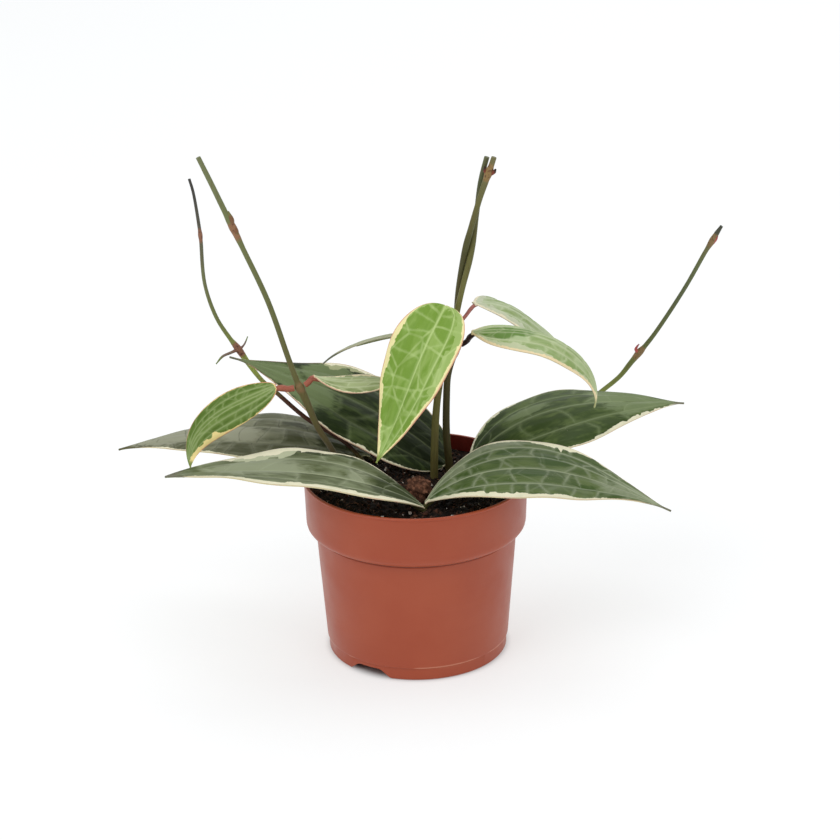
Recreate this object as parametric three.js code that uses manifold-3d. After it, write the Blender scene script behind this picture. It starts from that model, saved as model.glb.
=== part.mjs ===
// A hoya with cream-edged leaves, growing in a round plastic nursery pot.
// Millimetres, +Z up. Every piece is made with the pot's axis at x = y = 0 and its foot at z = 0,
// and the whole plant is then moved so that its box is centred over the origin.
import * as THREE from 'three';
import { mergeVertices } from 'three/addons/utils/BufferGeometryUtils.js';
import Module from 'manifold-3d';

const wasm = await Module();
wasm.setup();

// Driving dimensions
const RIM_RADIUS = 60; // a 12 cm nursery pot
const POT_HEIGHT = 99;
const POT_WALL = 1.3;
const CREASE_RADIUS = 54; // where the body meets the wide top band
const CREASE_HEIGHT = 69.4;
const BAND_BOTTOM = 75.5; // the straight part of the band starts here
const BODY_FOOT_RADIUS = 49.2; // the body's lower end, which stands out over the foot ring
const FOOT_RADIUS = 48.3;
const FOOT_HEIGHT = 7.3;
const FLOOR_UNDERSIDE = 5.4;
const ARCH_HEIGHT = 5; // drain arches through the foot ring
const ARCH_WIDTH = 26;
const ARCH_TOP_WIDTH = 14;
const ARCH_ANGLES = [-123, 57]; // degrees from +X, on opposite sides
const ARCH_CUT_START = 8; // outside the foot
const ARCH_CUT_DEPTH = 20; // inwards from there, through the foot ring
const DRAIN_HOLE_RADIUS = 4;
const DRAIN_HOLE_CIRCLE = 33;
const DRAIN_HOLE_COUNT = 6;
const FIRST_DRAIN_HOLE = 30; // degrees from +X
const DRAIN_CUT_DEPTH = 10; // more than the floor is thick
const SOIL_TOP = 91.4;
const SOIL_RINGS = [50, 42, 34, 26, 18, 9, 0]; // radii of the rings in the soil's crumbly top
const CLEARANCE = 0.3; // between pieces that touch
const ROUND_SEGMENTS = 52; // shared by pot and soil, so that their facets stay parallel
const STEM_SIDES = 8;
const PETIOLE_SIDES = 7;
const SPUR_SIDES = 6;
const HOLE_SIDES = 12;
const DRAIN_HOLE_SIDES = 16;
const STEM_FOOT = 62; // how deep the cuttings stand in the soil
const PETIOLE_FOOT = 80;
const SPINE_STEPS = 120;
const LONG_LEAF = 100; // from this length a blade has the higher count of rows
const LONG_LEAF_ROWS = 18;
const SHORT_LEAF_ROWS = 12;
const BLADE_START = 1.6; // least half width of a blade where its stalk ends
const BLADE_EDGE = 0.7; // least half width at its tip, and its thickness at the margin
const FULL_QUILT_WIDTH = 12; // half width from which the quilting is full
const RIPPLE_SHIFT = 2.3; // radians from the ripples of the left margin to those of the right
const KEEL = [[0.015, 1.5], [0.08, 1.1], [0.2, 0.7]]; // [share of the length, radius] of the midrib
const KEEL_RISE = 0.1; // how far the midrib's top stands above the blade's middle surface

const rad = THREE.MathUtils.degToRad;
const floorTop = FLOOR_UNDERSIDE + POT_WALL;

// Materials by what each piece is made of
const finish = (color, roughness) => new THREE.MeshStandardMaterial({ color, roughness, metalness: 0 });
const LOOKS = {
  plastic: () => finish(0xa0533c, 0.5),
  soil: () => finish(0x2b1d16, 0.95),
  peat: () => finish(0x5a3a2a, 0.95),
  oldLeaf: () => finish(0x5f7350, 0.45),
  darkLeaf: () => finish(0x3c5233, 0.45),
  youngLeaf: () => finish(0x739b46, 0.45),
  paleLeaf: () => finish(0x8ea37c, 0.5),
  oliveStem: () => finish(0x66643c, 0.6),
  darkStem: () => finish(0x4d4a34, 0.6),
  limeStem: () => finish(0x7f8b45, 0.6),
};

const plant = new THREE.Group();

function addPiece(name, geometry, material) {
  geometry.computeVertexNormals();
  const mesh = new THREE.Mesh(geometry, material);
  mesh.name = name;
  plant.add(mesh);
}

// Joining and cutting closed meshes
function weld(geometry) {
  geometry.deleteAttribute('normal');
  geometry.deleteAttribute('uv');
  const merged = mergeVertices(geometry, 1e-4);
  const from = merged.index.array;
  const kept = [];
  for (let i = 0; i < from.length; i += 3) {
    const [a, b, c] = [from[i], from[i + 1], from[i + 2]];
    if (a !== b && b !== c && c !== a) kept.push(a, b, c);
  }
  merged.setIndex(kept);
  return merged;
}

function toSolid(geometry) {
  const merged = weld(geometry);
  return new wasm.Manifold(new wasm.Mesh({
    numProp: 3,
    vertProperties: new Float32Array(merged.attributes.position.array),
    triVerts: new Uint32Array(merged.index.array),
  }));
}

function toGeometry(solid) {
  const mesh = solid.getMesh();
  const geometry = new THREE.BufferGeometry();
  geometry.setAttribute('position', new THREE.BufferAttribute(new Float32Array(mesh.vertProperties), 3));
  geometry.setIndex(new THREE.BufferAttribute(new Uint32Array(mesh.triVerts), 1));
  return geometry;
}

function gridGeometry(points, faces) {
  const geometry = new THREE.BufferGeometry();
  const numbers = points.flatMap((p) => p.toArray());
  geometry.setAttribute('position', new THREE.Float32BufferAttribute(numbers, 3));
  geometry.setIndex(faces);
  return geometry;
}

// A round body: a closed profile of [radius, height] turned about the pot's axis
function turned(profile) {
  const points = profile.map(([r, z]) => new THREE.Vector2(r, z));
  return new THREE.LatheGeometry(points, ROUND_SEGMENTS).rotateX(Math.PI / 2);
}

// A round stalk through [x, y, z, radius] points, smooth between them and flat at both ends
function stalk(points, sides, stepsPerSpan = 2) {
  const centres = points.map(([x, y, z]) => new THREE.Vector3(x, y, z));
  const curve = new THREE.CatmullRomCurve3(centres, false, 'centripetal');
  const rings = (points.length - 1) * stepsPerSpan;
  const vertices = [];
  let across = new THREE.Vector3(1, 0, 0);
  for (let i = 0; i <= rings; i++) {
    const t = i / rings;
    const centre = curve.getPoint(t);
    const along = curve.getTangent(t);
    across = across.clone().addScaledVector(along, -across.dot(along)).normalize();
    const other = new THREE.Vector3().crossVectors(along, across);
    const span = Math.min(Math.floor(t * (points.length - 1)), points.length - 2);
    const part = t * (points.length - 1) - span;
    const radius = THREE.MathUtils.lerp(points[span][3], points[span + 1][3], part);
    for (let j = 0; j < sides; j++) {
      const angle = (2 * Math.PI * j) / sides;
      vertices.push(centre.clone()
        .addScaledVector(across, radius * Math.cos(angle))
        .addScaledVector(other, radius * Math.sin(angle)));
    }
  }
  const faces = [];
  for (let i = 0; i < rings; i++) {
    for (let j = 0; j < sides; j++) {
      const a = i * sides + j;
      const b = i * sides + ((j + 1) % sides);
      faces.push(a, b, b + sides, a, b + sides, a + sides);
    }
  }
  const last = rings * sides;
  for (let j = 1; j < sides - 1; j++) {
    faces.push(0, j + 1, j);
    faces.push(last, last + j, last + j + 1);
  }
  return gridGeometry(vertices, faces);
}

const joined = (geometries) => toGeometry(geometries.map(toSolid).reduce((sum, part) => sum.add(part)));

// The pot: a tapered body, a wide top band, a foot ring with drain arches, and a floor with holes
function potGeometry() {
  const lip = RIM_RADIUS + 0.3;
  const body = toSolid(turned([
    [0, FLOOR_UNDERSIDE],
    [FOOT_RADIUS - 4.2, FLOOR_UNDERSIDE],
    [FOOT_RADIUS - 3.6, 0],
    [FOOT_RADIUS - 0.8, 0],
    [FOOT_RADIUS, 0.9],
    [FOOT_RADIUS, FOOT_HEIGHT],
    [BODY_FOOT_RADIUS - 0.3, FOOT_HEIGHT + 0.1],
    [BODY_FOOT_RADIUS, FOOT_HEIGHT + 0.6],
    [CREASE_RADIUS, CREASE_HEIGHT],
    [CREASE_RADIUS + 2.9, CREASE_HEIGHT + 1.3],
    [CREASE_RADIUS + 4.7, CREASE_HEIGHT + 3.2],
    [RIM_RADIUS - 0.9, BAND_BOTTOM],
    [RIM_RADIUS - 0.1, POT_HEIGHT - 1.5],
    [lip, POT_HEIGHT - 1.1],
    [lip, POT_HEIGHT - 0.3],
    [RIM_RADIUS, POT_HEIGHT],
    [RIM_RADIUS - POT_WALL, POT_HEIGHT],
    [RIM_RADIUS - POT_WALL - 0.7, BAND_BOTTOM],
    [CREASE_RADIUS + 2.8, CREASE_HEIGHT + 3.6],
    [CREASE_RADIUS - POT_WALL, CREASE_HEIGHT + 0.6],
    [BODY_FOOT_RADIUS - 0.3 - POT_WALL, floorTop + 1.6],
    [FOOT_RADIUS - 1.4 - POT_WALL, floorTop],
    [0, floorTop],
  ]));
  let cut = body;
  for (const angle of ARCH_ANGLES) {
    const outline = new THREE.Shape([
      new THREE.Vector2(-ARCH_WIDTH / 2, -1),
      new THREE.Vector2(ARCH_WIDTH / 2, -1),
      new THREE.Vector2(ARCH_WIDTH / 2, 0),
      new THREE.Vector2(ARCH_TOP_WIDTH / 2, ARCH_HEIGHT),
      new THREE.Vector2(-ARCH_TOP_WIDTH / 2, ARCH_HEIGHT),
      new THREE.Vector2(-ARCH_WIDTH / 2, 0),
    ]);
    const arch = new THREE.ExtrudeGeometry(outline, { depth: ARCH_CUT_DEPTH, bevelEnabled: false });
    arch.rotateX(Math.PI / 2).translate(0, FOOT_RADIUS + ARCH_CUT_START, 0).rotateZ(rad(angle - 90));
    cut = cut.subtract(toSolid(arch));
  }
  for (let i = 0; i < DRAIN_HOLE_COUNT; i++) {
    const [wide, deep] = [DRAIN_HOLE_RADIUS, DRAIN_CUT_DEPTH];
    const hole = new THREE.CylinderGeometry(wide, wide, deep, DRAIN_HOLE_SIDES);
    const angle = rad(FIRST_DRAIN_HOLE + (360 * i) / DRAIN_HOLE_COUNT);
    hole.rotateX(Math.PI / 2);
    hole.translate(DRAIN_HOLE_CIRCLE * Math.cos(angle), DRAIN_HOLE_CIRCLE * Math.sin(angle), floorTop);
    cut = cut.subtract(toSolid(hole));
  }
  return toGeometry(cut);
}

// The peat plug that the two front leaves came up with, a lump lying on the soil
const PLUG = { x: 1.5, y: -18, size: [6.6, 6.2, 7], sink: 1 };
const plugFoot = SOIL_TOP + CLEARANCE;

// Height of the soil: crumbly, lower near the wall, and flat under the plug
function soilHeight(x, y) {
  const r = Math.hypot(x, y);
  const crumbs = 0.8 * Math.sin(0.52 * x + 1.4 * Math.sin(0.31 * y)) * Math.cos(0.47 * y - 0.6)
    + 0.4 * Math.sin(1.1 * x + 0.9 * y);
  const fromPlug = Math.hypot(x - PLUG.x, y - PLUG.y);
  const flat = THREE.MathUtils.smoothstep(fromPlug, 9, 16);
  const slope = THREE.MathUtils.smoothstep(r, 40, 58);
  return SOIL_TOP + crumbs * flat - 0.9 * slope;
}

function soilGeometry(stems) {
  const gap = POT_WALL + CLEARANCE;
  const rimRadius = RIM_RADIUS - gap - 0.3;
  const geometry = turned([
    [0, floorTop + CLEARANCE],
    [FOOT_RADIUS - 1.6 - gap, floorTop + CLEARANCE],
    [BODY_FOOT_RADIUS - 0.3 - gap, floorTop + 2.4],
    [CREASE_RADIUS - gap, CREASE_HEIGHT + 0.8],
    [CREASE_RADIUS + 2.3, CREASE_HEIGHT + 3.9],
    [RIM_RADIUS - gap - 0.8, BAND_BOTTOM],
    [rimRadius, SOIL_TOP],
    ...SOIL_RINGS.map((r) => [r, SOIL_TOP]),
  ]);
  const position = geometry.attributes.position;
  for (let i = 0; i < position.count; i++) {
    if (position.getZ(i) < SOIL_TOP - 0.01) continue;
    position.setZ(i, soilHeight(position.getX(i), position.getY(i)));
  }
  let solid = toSolid(geometry);
  for (const [x, y, bottom, radius] of stems) {
    const depth = POT_HEIGHT - bottom;
    const wide = (radius + CLEARANCE) / Math.cos(Math.PI / HOLE_SIDES);
    const hole = new THREE.CylinderGeometry(wide, wide, depth, HOLE_SIDES);
    hole.rotateX(Math.PI / 2).translate(x, y, bottom - CLEARANCE + depth / 2);
    solid = solid.subtract(toSolid(hole));
  }
  return toGeometry(solid);
}

function plugGeometry() {
  const geometry = new THREE.IcosahedronGeometry(1, 3);
  const position = geometry.attributes.position;
  const p = new THREE.Vector3();
  for (let i = 0; i < position.count; i++) {
    p.fromBufferAttribute(position, i);
    const lumps = 1 + 0.07 * Math.sin(6 * p.x + 2) * Math.cos(5 * p.y) + 0.05 * Math.sin(9 * p.z + 4 * p.x);
    p.multiplyScalar(lumps).multiply(new THREE.Vector3(...PLUG.size));
    const z = plugFoot + PLUG.size[2] - PLUG.sink + p.z;
    position.setXYZ(i, PLUG.x + p.x, PLUG.y + p.y, Math.max(z, plugFoot));
  }
  return weld(geometry);
}

// Stems: [x, y, z, radius] from the cut end in the soil to the top; a wider point is a node.
// Spurs are the buds, leaf scars and small outgrowths that the nodes carry.
const STEMS = {
  stem_left: {
    look: 'oliveStem',
    route: [
      [-38, 0, STEM_FOOT, 1.6], [-38, 0, 88, 1.6], [-38, 0, 94, 1.6], [-43, 0, 111, 1.6],
      [-51.5, 0, 126.5, 1.7], [-58.5, 0, 145, 2.1], [-60.5, 0, 149.5, 2.6], [-62, 0, 153.5, 1.6],
      [-65.7, 0, 165, 1.5], [-75.7, 0, 198, 1.45], [-87.6, 0, 227, 1.4], [-90.5, 0, 234, 1.7],
      [-92.4, 0, 238.5, 2.1], [-94, 0, 242, 1.8], [-96.2, 0, 247.2, 1.5], [-102.8, 0, 262.8, 1.4],
      [-108.8, 0, 276.6, 1.3],
    ],
    spurs: [
      [[-92.9, -0.2, 240, 1.4], [-93.1, -0.4, 243, 1.5], [-94.8, -0.2, 247.4, 0.8]],
      [[-92.3, -0.2, 239.4, 1.4], [-91.2, -0.5, 237.2, 1.6], [-90.4, -0.2, 234, 1.1]],
    ],
  },
  stem_back_left: {
    look: 'limeStem',
    route: [
      [-27, 24, STEM_FOOT, 1.2], [-27, 24, 90, 1.2], [-27.2, 24, 94, 1.2], [-37.6, 27, 106.4, 1.2],
      [-59.1, 32, 119.4, 1.2], [-74.8, 40, 131, 1.2], [-83.5, 48, 135.8, 1.25], [-90.9, 55, 143.3, 1.5],
      [-95.9, 56, 150.9, 2], [-100.5, 55, 158, 1.2], [-107.1, 54, 170.3, 1.1], [-112.5, 53, 190, 1],
      [-113.5, 53, 214, 1], [-113.7, 53, 217.5, 1.25], [-114, 53, 221, 0.95], [-116.5, 53, 241.6, 0.8],
      [-118.3, 53, 249, 0.75],
    ],
    spurs: [
      [[-95.5, 55.5, 151.2, 1.1], [-99.8, 53, 150, 0.8], [-104.3, 51, 148.6, 0.7], [-108, 50, 144.6, 0.35]],
      [[-95.5, 55.5, 150.5, 0.9], [-92.5, 55, 154, 0.5], [-90.5, 55, 158.5, 0.3]],
    ],
  },
  stem_centre_front: {
    look: 'oliveStem',
    route: [
      [10, 12.5, STEM_FOOT, 2.1], [10, 12.5, 88, 2.1], [10, 12.5, 95, 2.1], [11, 11, 124, 2],
      [12.6, 10.5, 141, 1.9], [16, 11, 160, 1.8], [19.2, 11.5, 171, 1.8], [20.8, 11.9, 176.5, 1.9],
      [21.8, 12, 180, 2.3], [22.6, 11.6, 184, 1.7], [23.4, 11.3, 188.4, 1.6], [26.1, 11.6, 200, 1.5],
      [30.1, 13.7, 215.2, 1.5], [31.5, 15.6, 222.6, 1.65], [33.8, 17.9, 238.3, 1.4],
      [35.7, 18.2, 253.7, 1.4], [37.3, 18, 261.5, 1.4], [39.4, 18, 269.3, 1.4],
    ],
    spurs: [],
  },
  stem_centre_back: {
    look: 'darkStem',
    route: [
      [18.2, 19, STEM_FOOT, 2.1], [18.2, 19, 88, 2.1], [18.2, 19, 95, 2.1], [16.9, 17.8, 114, 2],
      [17.1, 16.8, 135, 1.9], [18, 16.2, 149, 1.8], [20.4, 16.6, 158, 1.8], [22.2, 17.1, 162, 2],
      [22.9, 17.3, 165.2, 2.5], [23.5, 17.4, 169, 1.8], [24.1, 17.2, 176, 1.6], [23.1, 16.6, 183, 1.5],
      [23.7, 15.7, 195, 1.5], [26.1, 15.1, 211, 1.4], [28.3, 13.4, 223, 1.65], [31, 12.8, 233, 1.6],
      [35.2, 13.5, 247.4, 1.5], [38.6, 13.8, 257.6, 1.7], [40.3, 13.8, 262.4, 2.2],
      [41.6, 14, 266, 1.5], [43, 14, 270.3, 1.4],
    ],
    spurs: [
      [[40.4, 13.6, 261.5, 1.5], [42.8, 13, 262.6, 1.1], [43.8, 12.8, 264.2, 0.5]],
      [[40.2, 13.8, 261, 1.6], [38.4, 13.7, 263, 1.1], [38.2, 13.6, 265.4, 0.5]],
    ],
  },
  stem_right: {
    look: 'limeStem',
    route: [
      [33, 35, STEM_FOOT, 1.3], [33, 35, 90, 1.3], [33.2, 35, 94, 1.3], [44, 39, 102.6, 1.3],
      [58, 44, 104.5, 1.3], [80, 56, 108, 1.3], [94.5, 67, 111.3, 1.3], [105, 74, 116.8, 1.3],
      [114, 75.5, 124, 1.3], [120.3, 75, 132.5, 1.5], [124.9, 74, 139, 2], [128, 72.5, 143.5, 1.3],
      [133.4, 70.5, 152, 1.2], [148.8, 69, 178.2, 1.15], [159.6, 69, 199, 1.2],
      [163.2, 69, 205.3, 1.8], [165, 69, 208.6, 1.4], [167.9, 69, 213.3, 0.9],
    ],
    spurs: [
      [[124.4, 73.8, 138.8, 1.3], [122.8, 73.4, 140.8, 0.9], [123.4, 73.2, 142.6, 0.6],
        [124.5, 73.2, 144, 0.35]],
      [[163, 69, 204, 1.4], [164.6, 68.6, 205.8, 1.1], [165.6, 68.6, 208, 0.7]],
    ],
  },
};

// Leaves. heading, pitch and roll are the midrib's angles in degrees at base, middle and tip.
// left and right are [fold, curl] of each half of the blade in degrees; broad is where it is widest,
// and baseShape and tipShape say how it narrows (under 1 is rounded, over 1 is drawn out).
// petiole lists [x, y, z, radius] from the stem or the soil towards the blade.
function soilPetiole(x, y, radius) {
  return [PETIOLE_FOOT, 86, 90, 92.5].map((z) => [x, y, z, radius]);
}
const LEAVES = {
  leaf_front_left: {
    look: 'oldLeaf', base: [3.8, -32.6, 93.6], heading: [202, 168, 182], pitch: [41, 0.5, -5],
    roll: [-11, -1, 10], length: 143, width: 58, broad: 0.59, baseShape: 0.72, tipShape: 0.8,
    left: [12, -3], right: [4, -5], wave: [0.7, 3, 0.1], thickness: 1.1,
    petiole: soilPetiole(3.8, -32.6, 1.4),
  },
  leaf_front_right: {
    look: 'oldLeaf', base: [5, -28.8, 94.6], heading: [-2, 1, -24], pitch: [47, -9, -17],
    roll: [6, 2, 13], length: 138, width: 63, broad: 0.43, baseShape: 0.95, tipShape: 1.9,
    left: [7, -6], right: [0, -9], wave: [0.7, 3, 0.4], thickness: 1.1,
    petiole: soilPetiole(5, -28, 1.4),
  },
  leaf_back_right: {
    look: 'oldLeaf', base: [29, 22, 95], heading: [29, 14, 9], pitch: [46, 5, -8],
    roll: [14, 8, 15], length: 131, width: 59, broad: 0.43, baseShape: 0.85, tipShape: 1.45,
    left: [-7, -13], right: [-10, -15], wave: [0.7, 3, 0.7], thickness: 1.1,
    petiole: soilPetiole(29, 22, 1.7),
  },
  leaf_back_left: {
    look: 'darkLeaf', base: [17, 25.5, 94.6], heading: [170, 172, 158], pitch: [44, 24, 7],
    roll: [-26, -17, -21], length: 134, width: 59, broad: 0.39, baseShape: 0.45, tipShape: 1.9,
    left: [-2.5, -8], right: [0.5, -8], wave: [0.8, 3, 0.2], thickness: 1.1,
    petiole: soilPetiole(17, 25.5, 1.7),
  },
  leaf_far_left: {
    look: 'oldLeaf', base: [-25, 36, 95], heading: [187, 170, 183], pitch: [37, -5, -15],
    roll: [-10, -2, 11], length: 145, width: 55, broad: 0.43, baseShape: 0.9, tipShape: 1.2,
    left: [-7, -13], right: [-5, -12.5], wave: [0.6, 3, 0.5], thickness: 1.1,
    petiole: soilPetiole(-25, 36, 1.7),
  },
  leaf_hanging_left: {
    look: 'youngLeaf', base: [-73, -1.5, 151], heading: [172, 179, 187], pitch: [-32, -35, -98],
    roll: [-35, -31, -30], length: 71, width: 22, broad: 0.44, baseShape: 0.5, tipShape: 0.9,
    left: [-21, -20], right: [6, -7], wave: [0.3, 2, 0.3], thickness: 0.9,
    petiole: [[-63.4, -0.6, 149.6, 1.7], [-66.5, -0.9, 149.2, 1.7], [-70, -1.2, 149.8, 1.8]],
  },
  leaf_short_middle: {
    look: 'paleLeaf', base: [-53, 0.5, 156], heading: [16, 16, 4], pitch: [-26, -6, -29],
    roll: [-7, 11, 4], length: 54, width: 18, broad: 0.39, baseShape: 0.7, tipShape: 1.3,
    left: [-7, -13], right: [-16, -17], wave: [0.3, 2, 0.1], thickness: 0.9,
    petiole: [[-57.6, 0, 151, 1.6], [-55.8, 0.1, 152.4, 1.6], [-54, 0.3, 154.4, 1.6]],
  },
  leaf_centre: {
    look: 'youngLeaf', base: [17, 6, 192], heading: [-116, -137, -137], pitch: [-27, -59, -49],
    roll: [-9, 4, -8], length: 92, width: 44, broad: 0.37, baseShape: 0.4, tipShape: 1.2,
    left: [2, -8], right: [10, -4], wave: [0.5, 3, 0.2], thickness: 0.9,
    petiole: [[19.8, 9.4, 181.6, 1.4], [18.9, 8.3, 185, 1.4], [17.8, 7, 189.2, 1.4]],
  },
  leaf_upper_right: {
    look: 'paleLeaf', base: [32, 17.5, 189], heading: [37, 28, 7], pitch: [3, -39, -46],
    roll: [9, -2, 17], length: 71, width: 34, broad: 0.44, baseShape: 0.85, tipShape: 1.33,
    left: [2, -9], right: [-22, -20], wave: [0.4, 2, 0.6], thickness: 0.9,
    petiole: [[25.1, 10.9, 181.4, 1], [27.6, 12.2, 184, 1], [30.6, 15.2, 187, 1.1]],
  },
  leaf_lower_right: {
    look: 'paleLeaf', base: [30.5, 5, 177.5], heading: [-32, -17, -17], pitch: [18, -20, -106],
    roll: [34, -19, 19], length: 94, width: 35, broad: 0.5, baseShape: 0.8, tipShape: 1.8,
    left: [-6, -13], right: [-24, -21.5], wave: [0.4, 3, 0.3], thickness: 0.9,
    petiole: [[25.6, 15.2, 166.8, 1.4], [28.2, 12.8, 169.6, 1.4], [29.8, 8.6, 173.6, 1.5]],
  },
  leaf_narrow_left: {
    look: 'youngLeaf', base: [8, 22, 173.6], heading: [174, 176, 172], pitch: [-12, -16, -46],
    roll: [14, 18, 16], length: 62, width: 23, broad: 0.47, baseShape: 0.6, tipShape: 1.55,
    left: [-2, -4], right: [-2, -4], wave: [0.3, 2, 0.4], thickness: 0.9,
    petiole: [[20.2, 18.6, 166.4, 1.5], [17, 20.6, 168.8, 1.4], [12, 21.8, 171.8, 1.4]],
  },
};

// The value of a quantity given at the start, the middle and the end of a leaf
const along = ([a, b, c], s) => a * (1 - s) * (1 - 2 * s) + 4 * b * s * (1 - s) + c * s * (2 * s - 1);

// The midrib, and the leaf's side and face directions along it
function leafSpine(leaf) {
  const spine = [];
  const point = new THREE.Vector3(...leaf.base);
  let before = null;
  for (let i = 0; i <= SPINE_STEPS; i++) {
    const s = i / SPINE_STEPS;
    const heading = rad(along(leaf.heading, s));
    const pitch = rad(along(leaf.pitch, s));
    const roll = rad(along(leaf.roll, s));
    const tangent = new THREE.Vector3(
      Math.cos(pitch) * Math.cos(heading),
      Math.cos(pitch) * Math.sin(heading),
      Math.sin(pitch),
    );
    if (before) point.addScaledVector(tangent.clone().add(before), leaf.length / SPINE_STEPS / 2);
    const level = new THREE.Vector3(-Math.sin(heading), Math.cos(heading), 0);
    const upright = new THREE.Vector3().crossVectors(tangent, level);
    spine.push({
      point: point.clone(),
      side: level.clone().multiplyScalar(Math.cos(roll)).addScaledVector(upright, Math.sin(roll)),
      face: level.clone().multiplyScalar(-Math.sin(roll)).addScaledVector(upright, Math.cos(roll)),
    });
    before = tangent;
  }
  return spine;
}

function halfWidth(leaf, s) {
  const onBase = s < leaf.broad;
  const t = onBase ? (leaf.broad - s) / leaf.broad : (s - leaf.broad) / (1 - leaf.broad);
  const shape = Math.max(Math.cos((Math.PI / 2) * t), 0) ** (onBase ? leaf.baseShape : leaf.tipShape);
  return Math.max((leaf.width / 2) * shape, onBase ? BLADE_START : BLADE_EDGE);
}

// Columns of the blade from its right edge to its left, with the quilting that its nerves give it:
// the midrib and the side nerves lie in shallow valleys and the blade stands proud between them
const COLUMNS = [
  [-1, 0], [-0.8, 0.35], [-0.55, -0.3], [-0.28, 0.45], [0, -0.5],
  [0.28, 0.45], [0.55, -0.3], [0.8, 0.35], [1, 0],
];

function bladeGeometry(leaf, spine) {
  const rows = leaf.length > LONG_LEAF ? LONG_LEAF_ROWS : SHORT_LEAF_ROWS;
  const [amplitude, count, phase] = leaf.wave;
  const columns = COLUMNS.length;
  const top = [];
  const bottom = [];
  for (let i = 0; i <= rows; i++) {
    const u = i / rows;
    const eased = 0.35 * u + 0.65 * 0.5 * (1 - Math.cos(Math.PI * u));
    const step = Math.round(eased * SPINE_STEPS);
    const s = step / SPINE_STEPS;
    const width = halfWidth(leaf, s);
    const { point, side, face } = spine[step];
    const relief = Math.min(1, width / FULL_QUILT_WIDTH);
    for (const [v, quilt] of COLUMNS) {
      const sign = Math.sign(v);
      const reach = Math.abs(v);
      const [fold, curl] = (v < 0 ? leaf.right : leaf.left).map(rad);
      const angle = fold + curl * reach;
      const out = (width * (Math.sin(angle) - Math.sin(fold))) / curl;
      const rise = (width * (Math.cos(fold) - Math.cos(angle))) / curl;
      const ripple = Math.sin(2 * Math.PI * (count * s + phase) + (v < 0 ? RIPPLE_SHIFT : 0));
      const wave = amplitude * reach ** 3 * ripple * Math.sin(Math.PI * s);
      const normal = side.clone().multiplyScalar(-sign * Math.sin(angle))
        .addScaledVector(face, Math.cos(angle));
      const middle = point.clone()
        .addScaledVector(side, sign * out)
        .addScaledVector(face, rise)
        .addScaledVector(normal, quilt * relief + wave);
      const half = THREE.MathUtils.lerp(leaf.thickness, BLADE_EDGE, reach ** 2) / 2;
      top.push(middle.clone().addScaledVector(normal, half));
      bottom.push(middle.clone().addScaledVector(normal, -half));
    }
  }
  const under = top.length;
  const faces = [];
  for (let i = 0; i < rows; i++) {
    for (let j = 0; j < columns - 1; j++) {
      const a = i * columns + j;
      const [b, c, d] = [a + columns, a + columns + 1, a + 1];
      faces.push(a, b, c, a, c, d);
      faces.push(under + a, under + c, under + b, under + a, under + d, under + c);
    }
    const r = i * columns;
    faces.push(r + columns, r, under + r, r + columns, under + r, under + r + columns);
    const l = r + columns - 1;
    faces.push(l, l + columns, under + l + columns, l, under + l + columns, under + l);
  }
  for (let j = 0; j < columns - 1; j++) {
    faces.push(j, j + 1, under + j + 1, j, under + j + 1, under + j);
    const e = rows * columns + j;
    faces.push(e + 1, e, under + e, e + 1, under + e, under + e + 1);
  }
  return gridGeometry([...top, ...bottom], faces);
}

// A leaf is its blade and its petiole, which runs on under the blade as the start of the midrib
function leafGeometry(leaf) {
  const spine = leafSpine(leaf);
  const keel = KEEL.map(([s, radius]) => {
    const { point, face } = spine[Math.round(s * SPINE_STEPS)];
    const centre = point.clone().addScaledVector(face, KEEL_RISE - radius);
    return [...centre.toArray(), radius];
  });
  return joined([bladeGeometry(leaf, spine), stalk([...leaf.petiole, ...keel], PETIOLE_SIDES)]);
}

addPiece('pot', potGeometry(), LOOKS.plastic());

const stemHoles = Object.values(STEMS).map(({ route }) => route[0]);
const petioleHoles = Object.values(LEAVES)
  .filter(({ petiole }) => petiole[0][2] === PETIOLE_FOOT)
  .map(({ petiole }) => petiole[0]);
addPiece('potting_soil', soilGeometry([...stemHoles, ...petioleHoles]), LOOKS.soil());
addPiece('peat_plug', plugGeometry(), LOOKS.peat());

for (const [name, { look, route, spurs }] of Object.entries(STEMS)) {
  const parts = [stalk(route, STEM_SIDES), ...spurs.map((spur) => stalk(spur, SPUR_SIDES, 1))];
  addPiece(name, joined(parts), LOOKS[look]());
}

for (const [name, leaf] of Object.entries(LEAVES)) {
  addPiece(name, leafGeometry(leaf), LOOKS[leaf.look]());
}

// Centre the box over the origin; the foot already stands at z = 0
const centre = new THREE.Box3().setFromObject(plant).getCenter(new THREE.Vector3());
plant.position.set(-centre.x, -centre.y, 0);
plant.updateMatrixWorld(true);

export default plant;
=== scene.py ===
"""A young hoya with cream-edged leaves in a terracotta-coloured plastic nursery pot.

The lengths in the tables below are millimetres from the pot's axis at its foot, +Z up and -Y towards
the front. They are turned into metres, and moved to the pot's place in the frame, as each mesh is made.
"""

import logging
import math
from dataclasses import dataclass, field
from enum import Enum

import bpy
import numpy as np
from mathutils import Matrix, Vector


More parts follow.
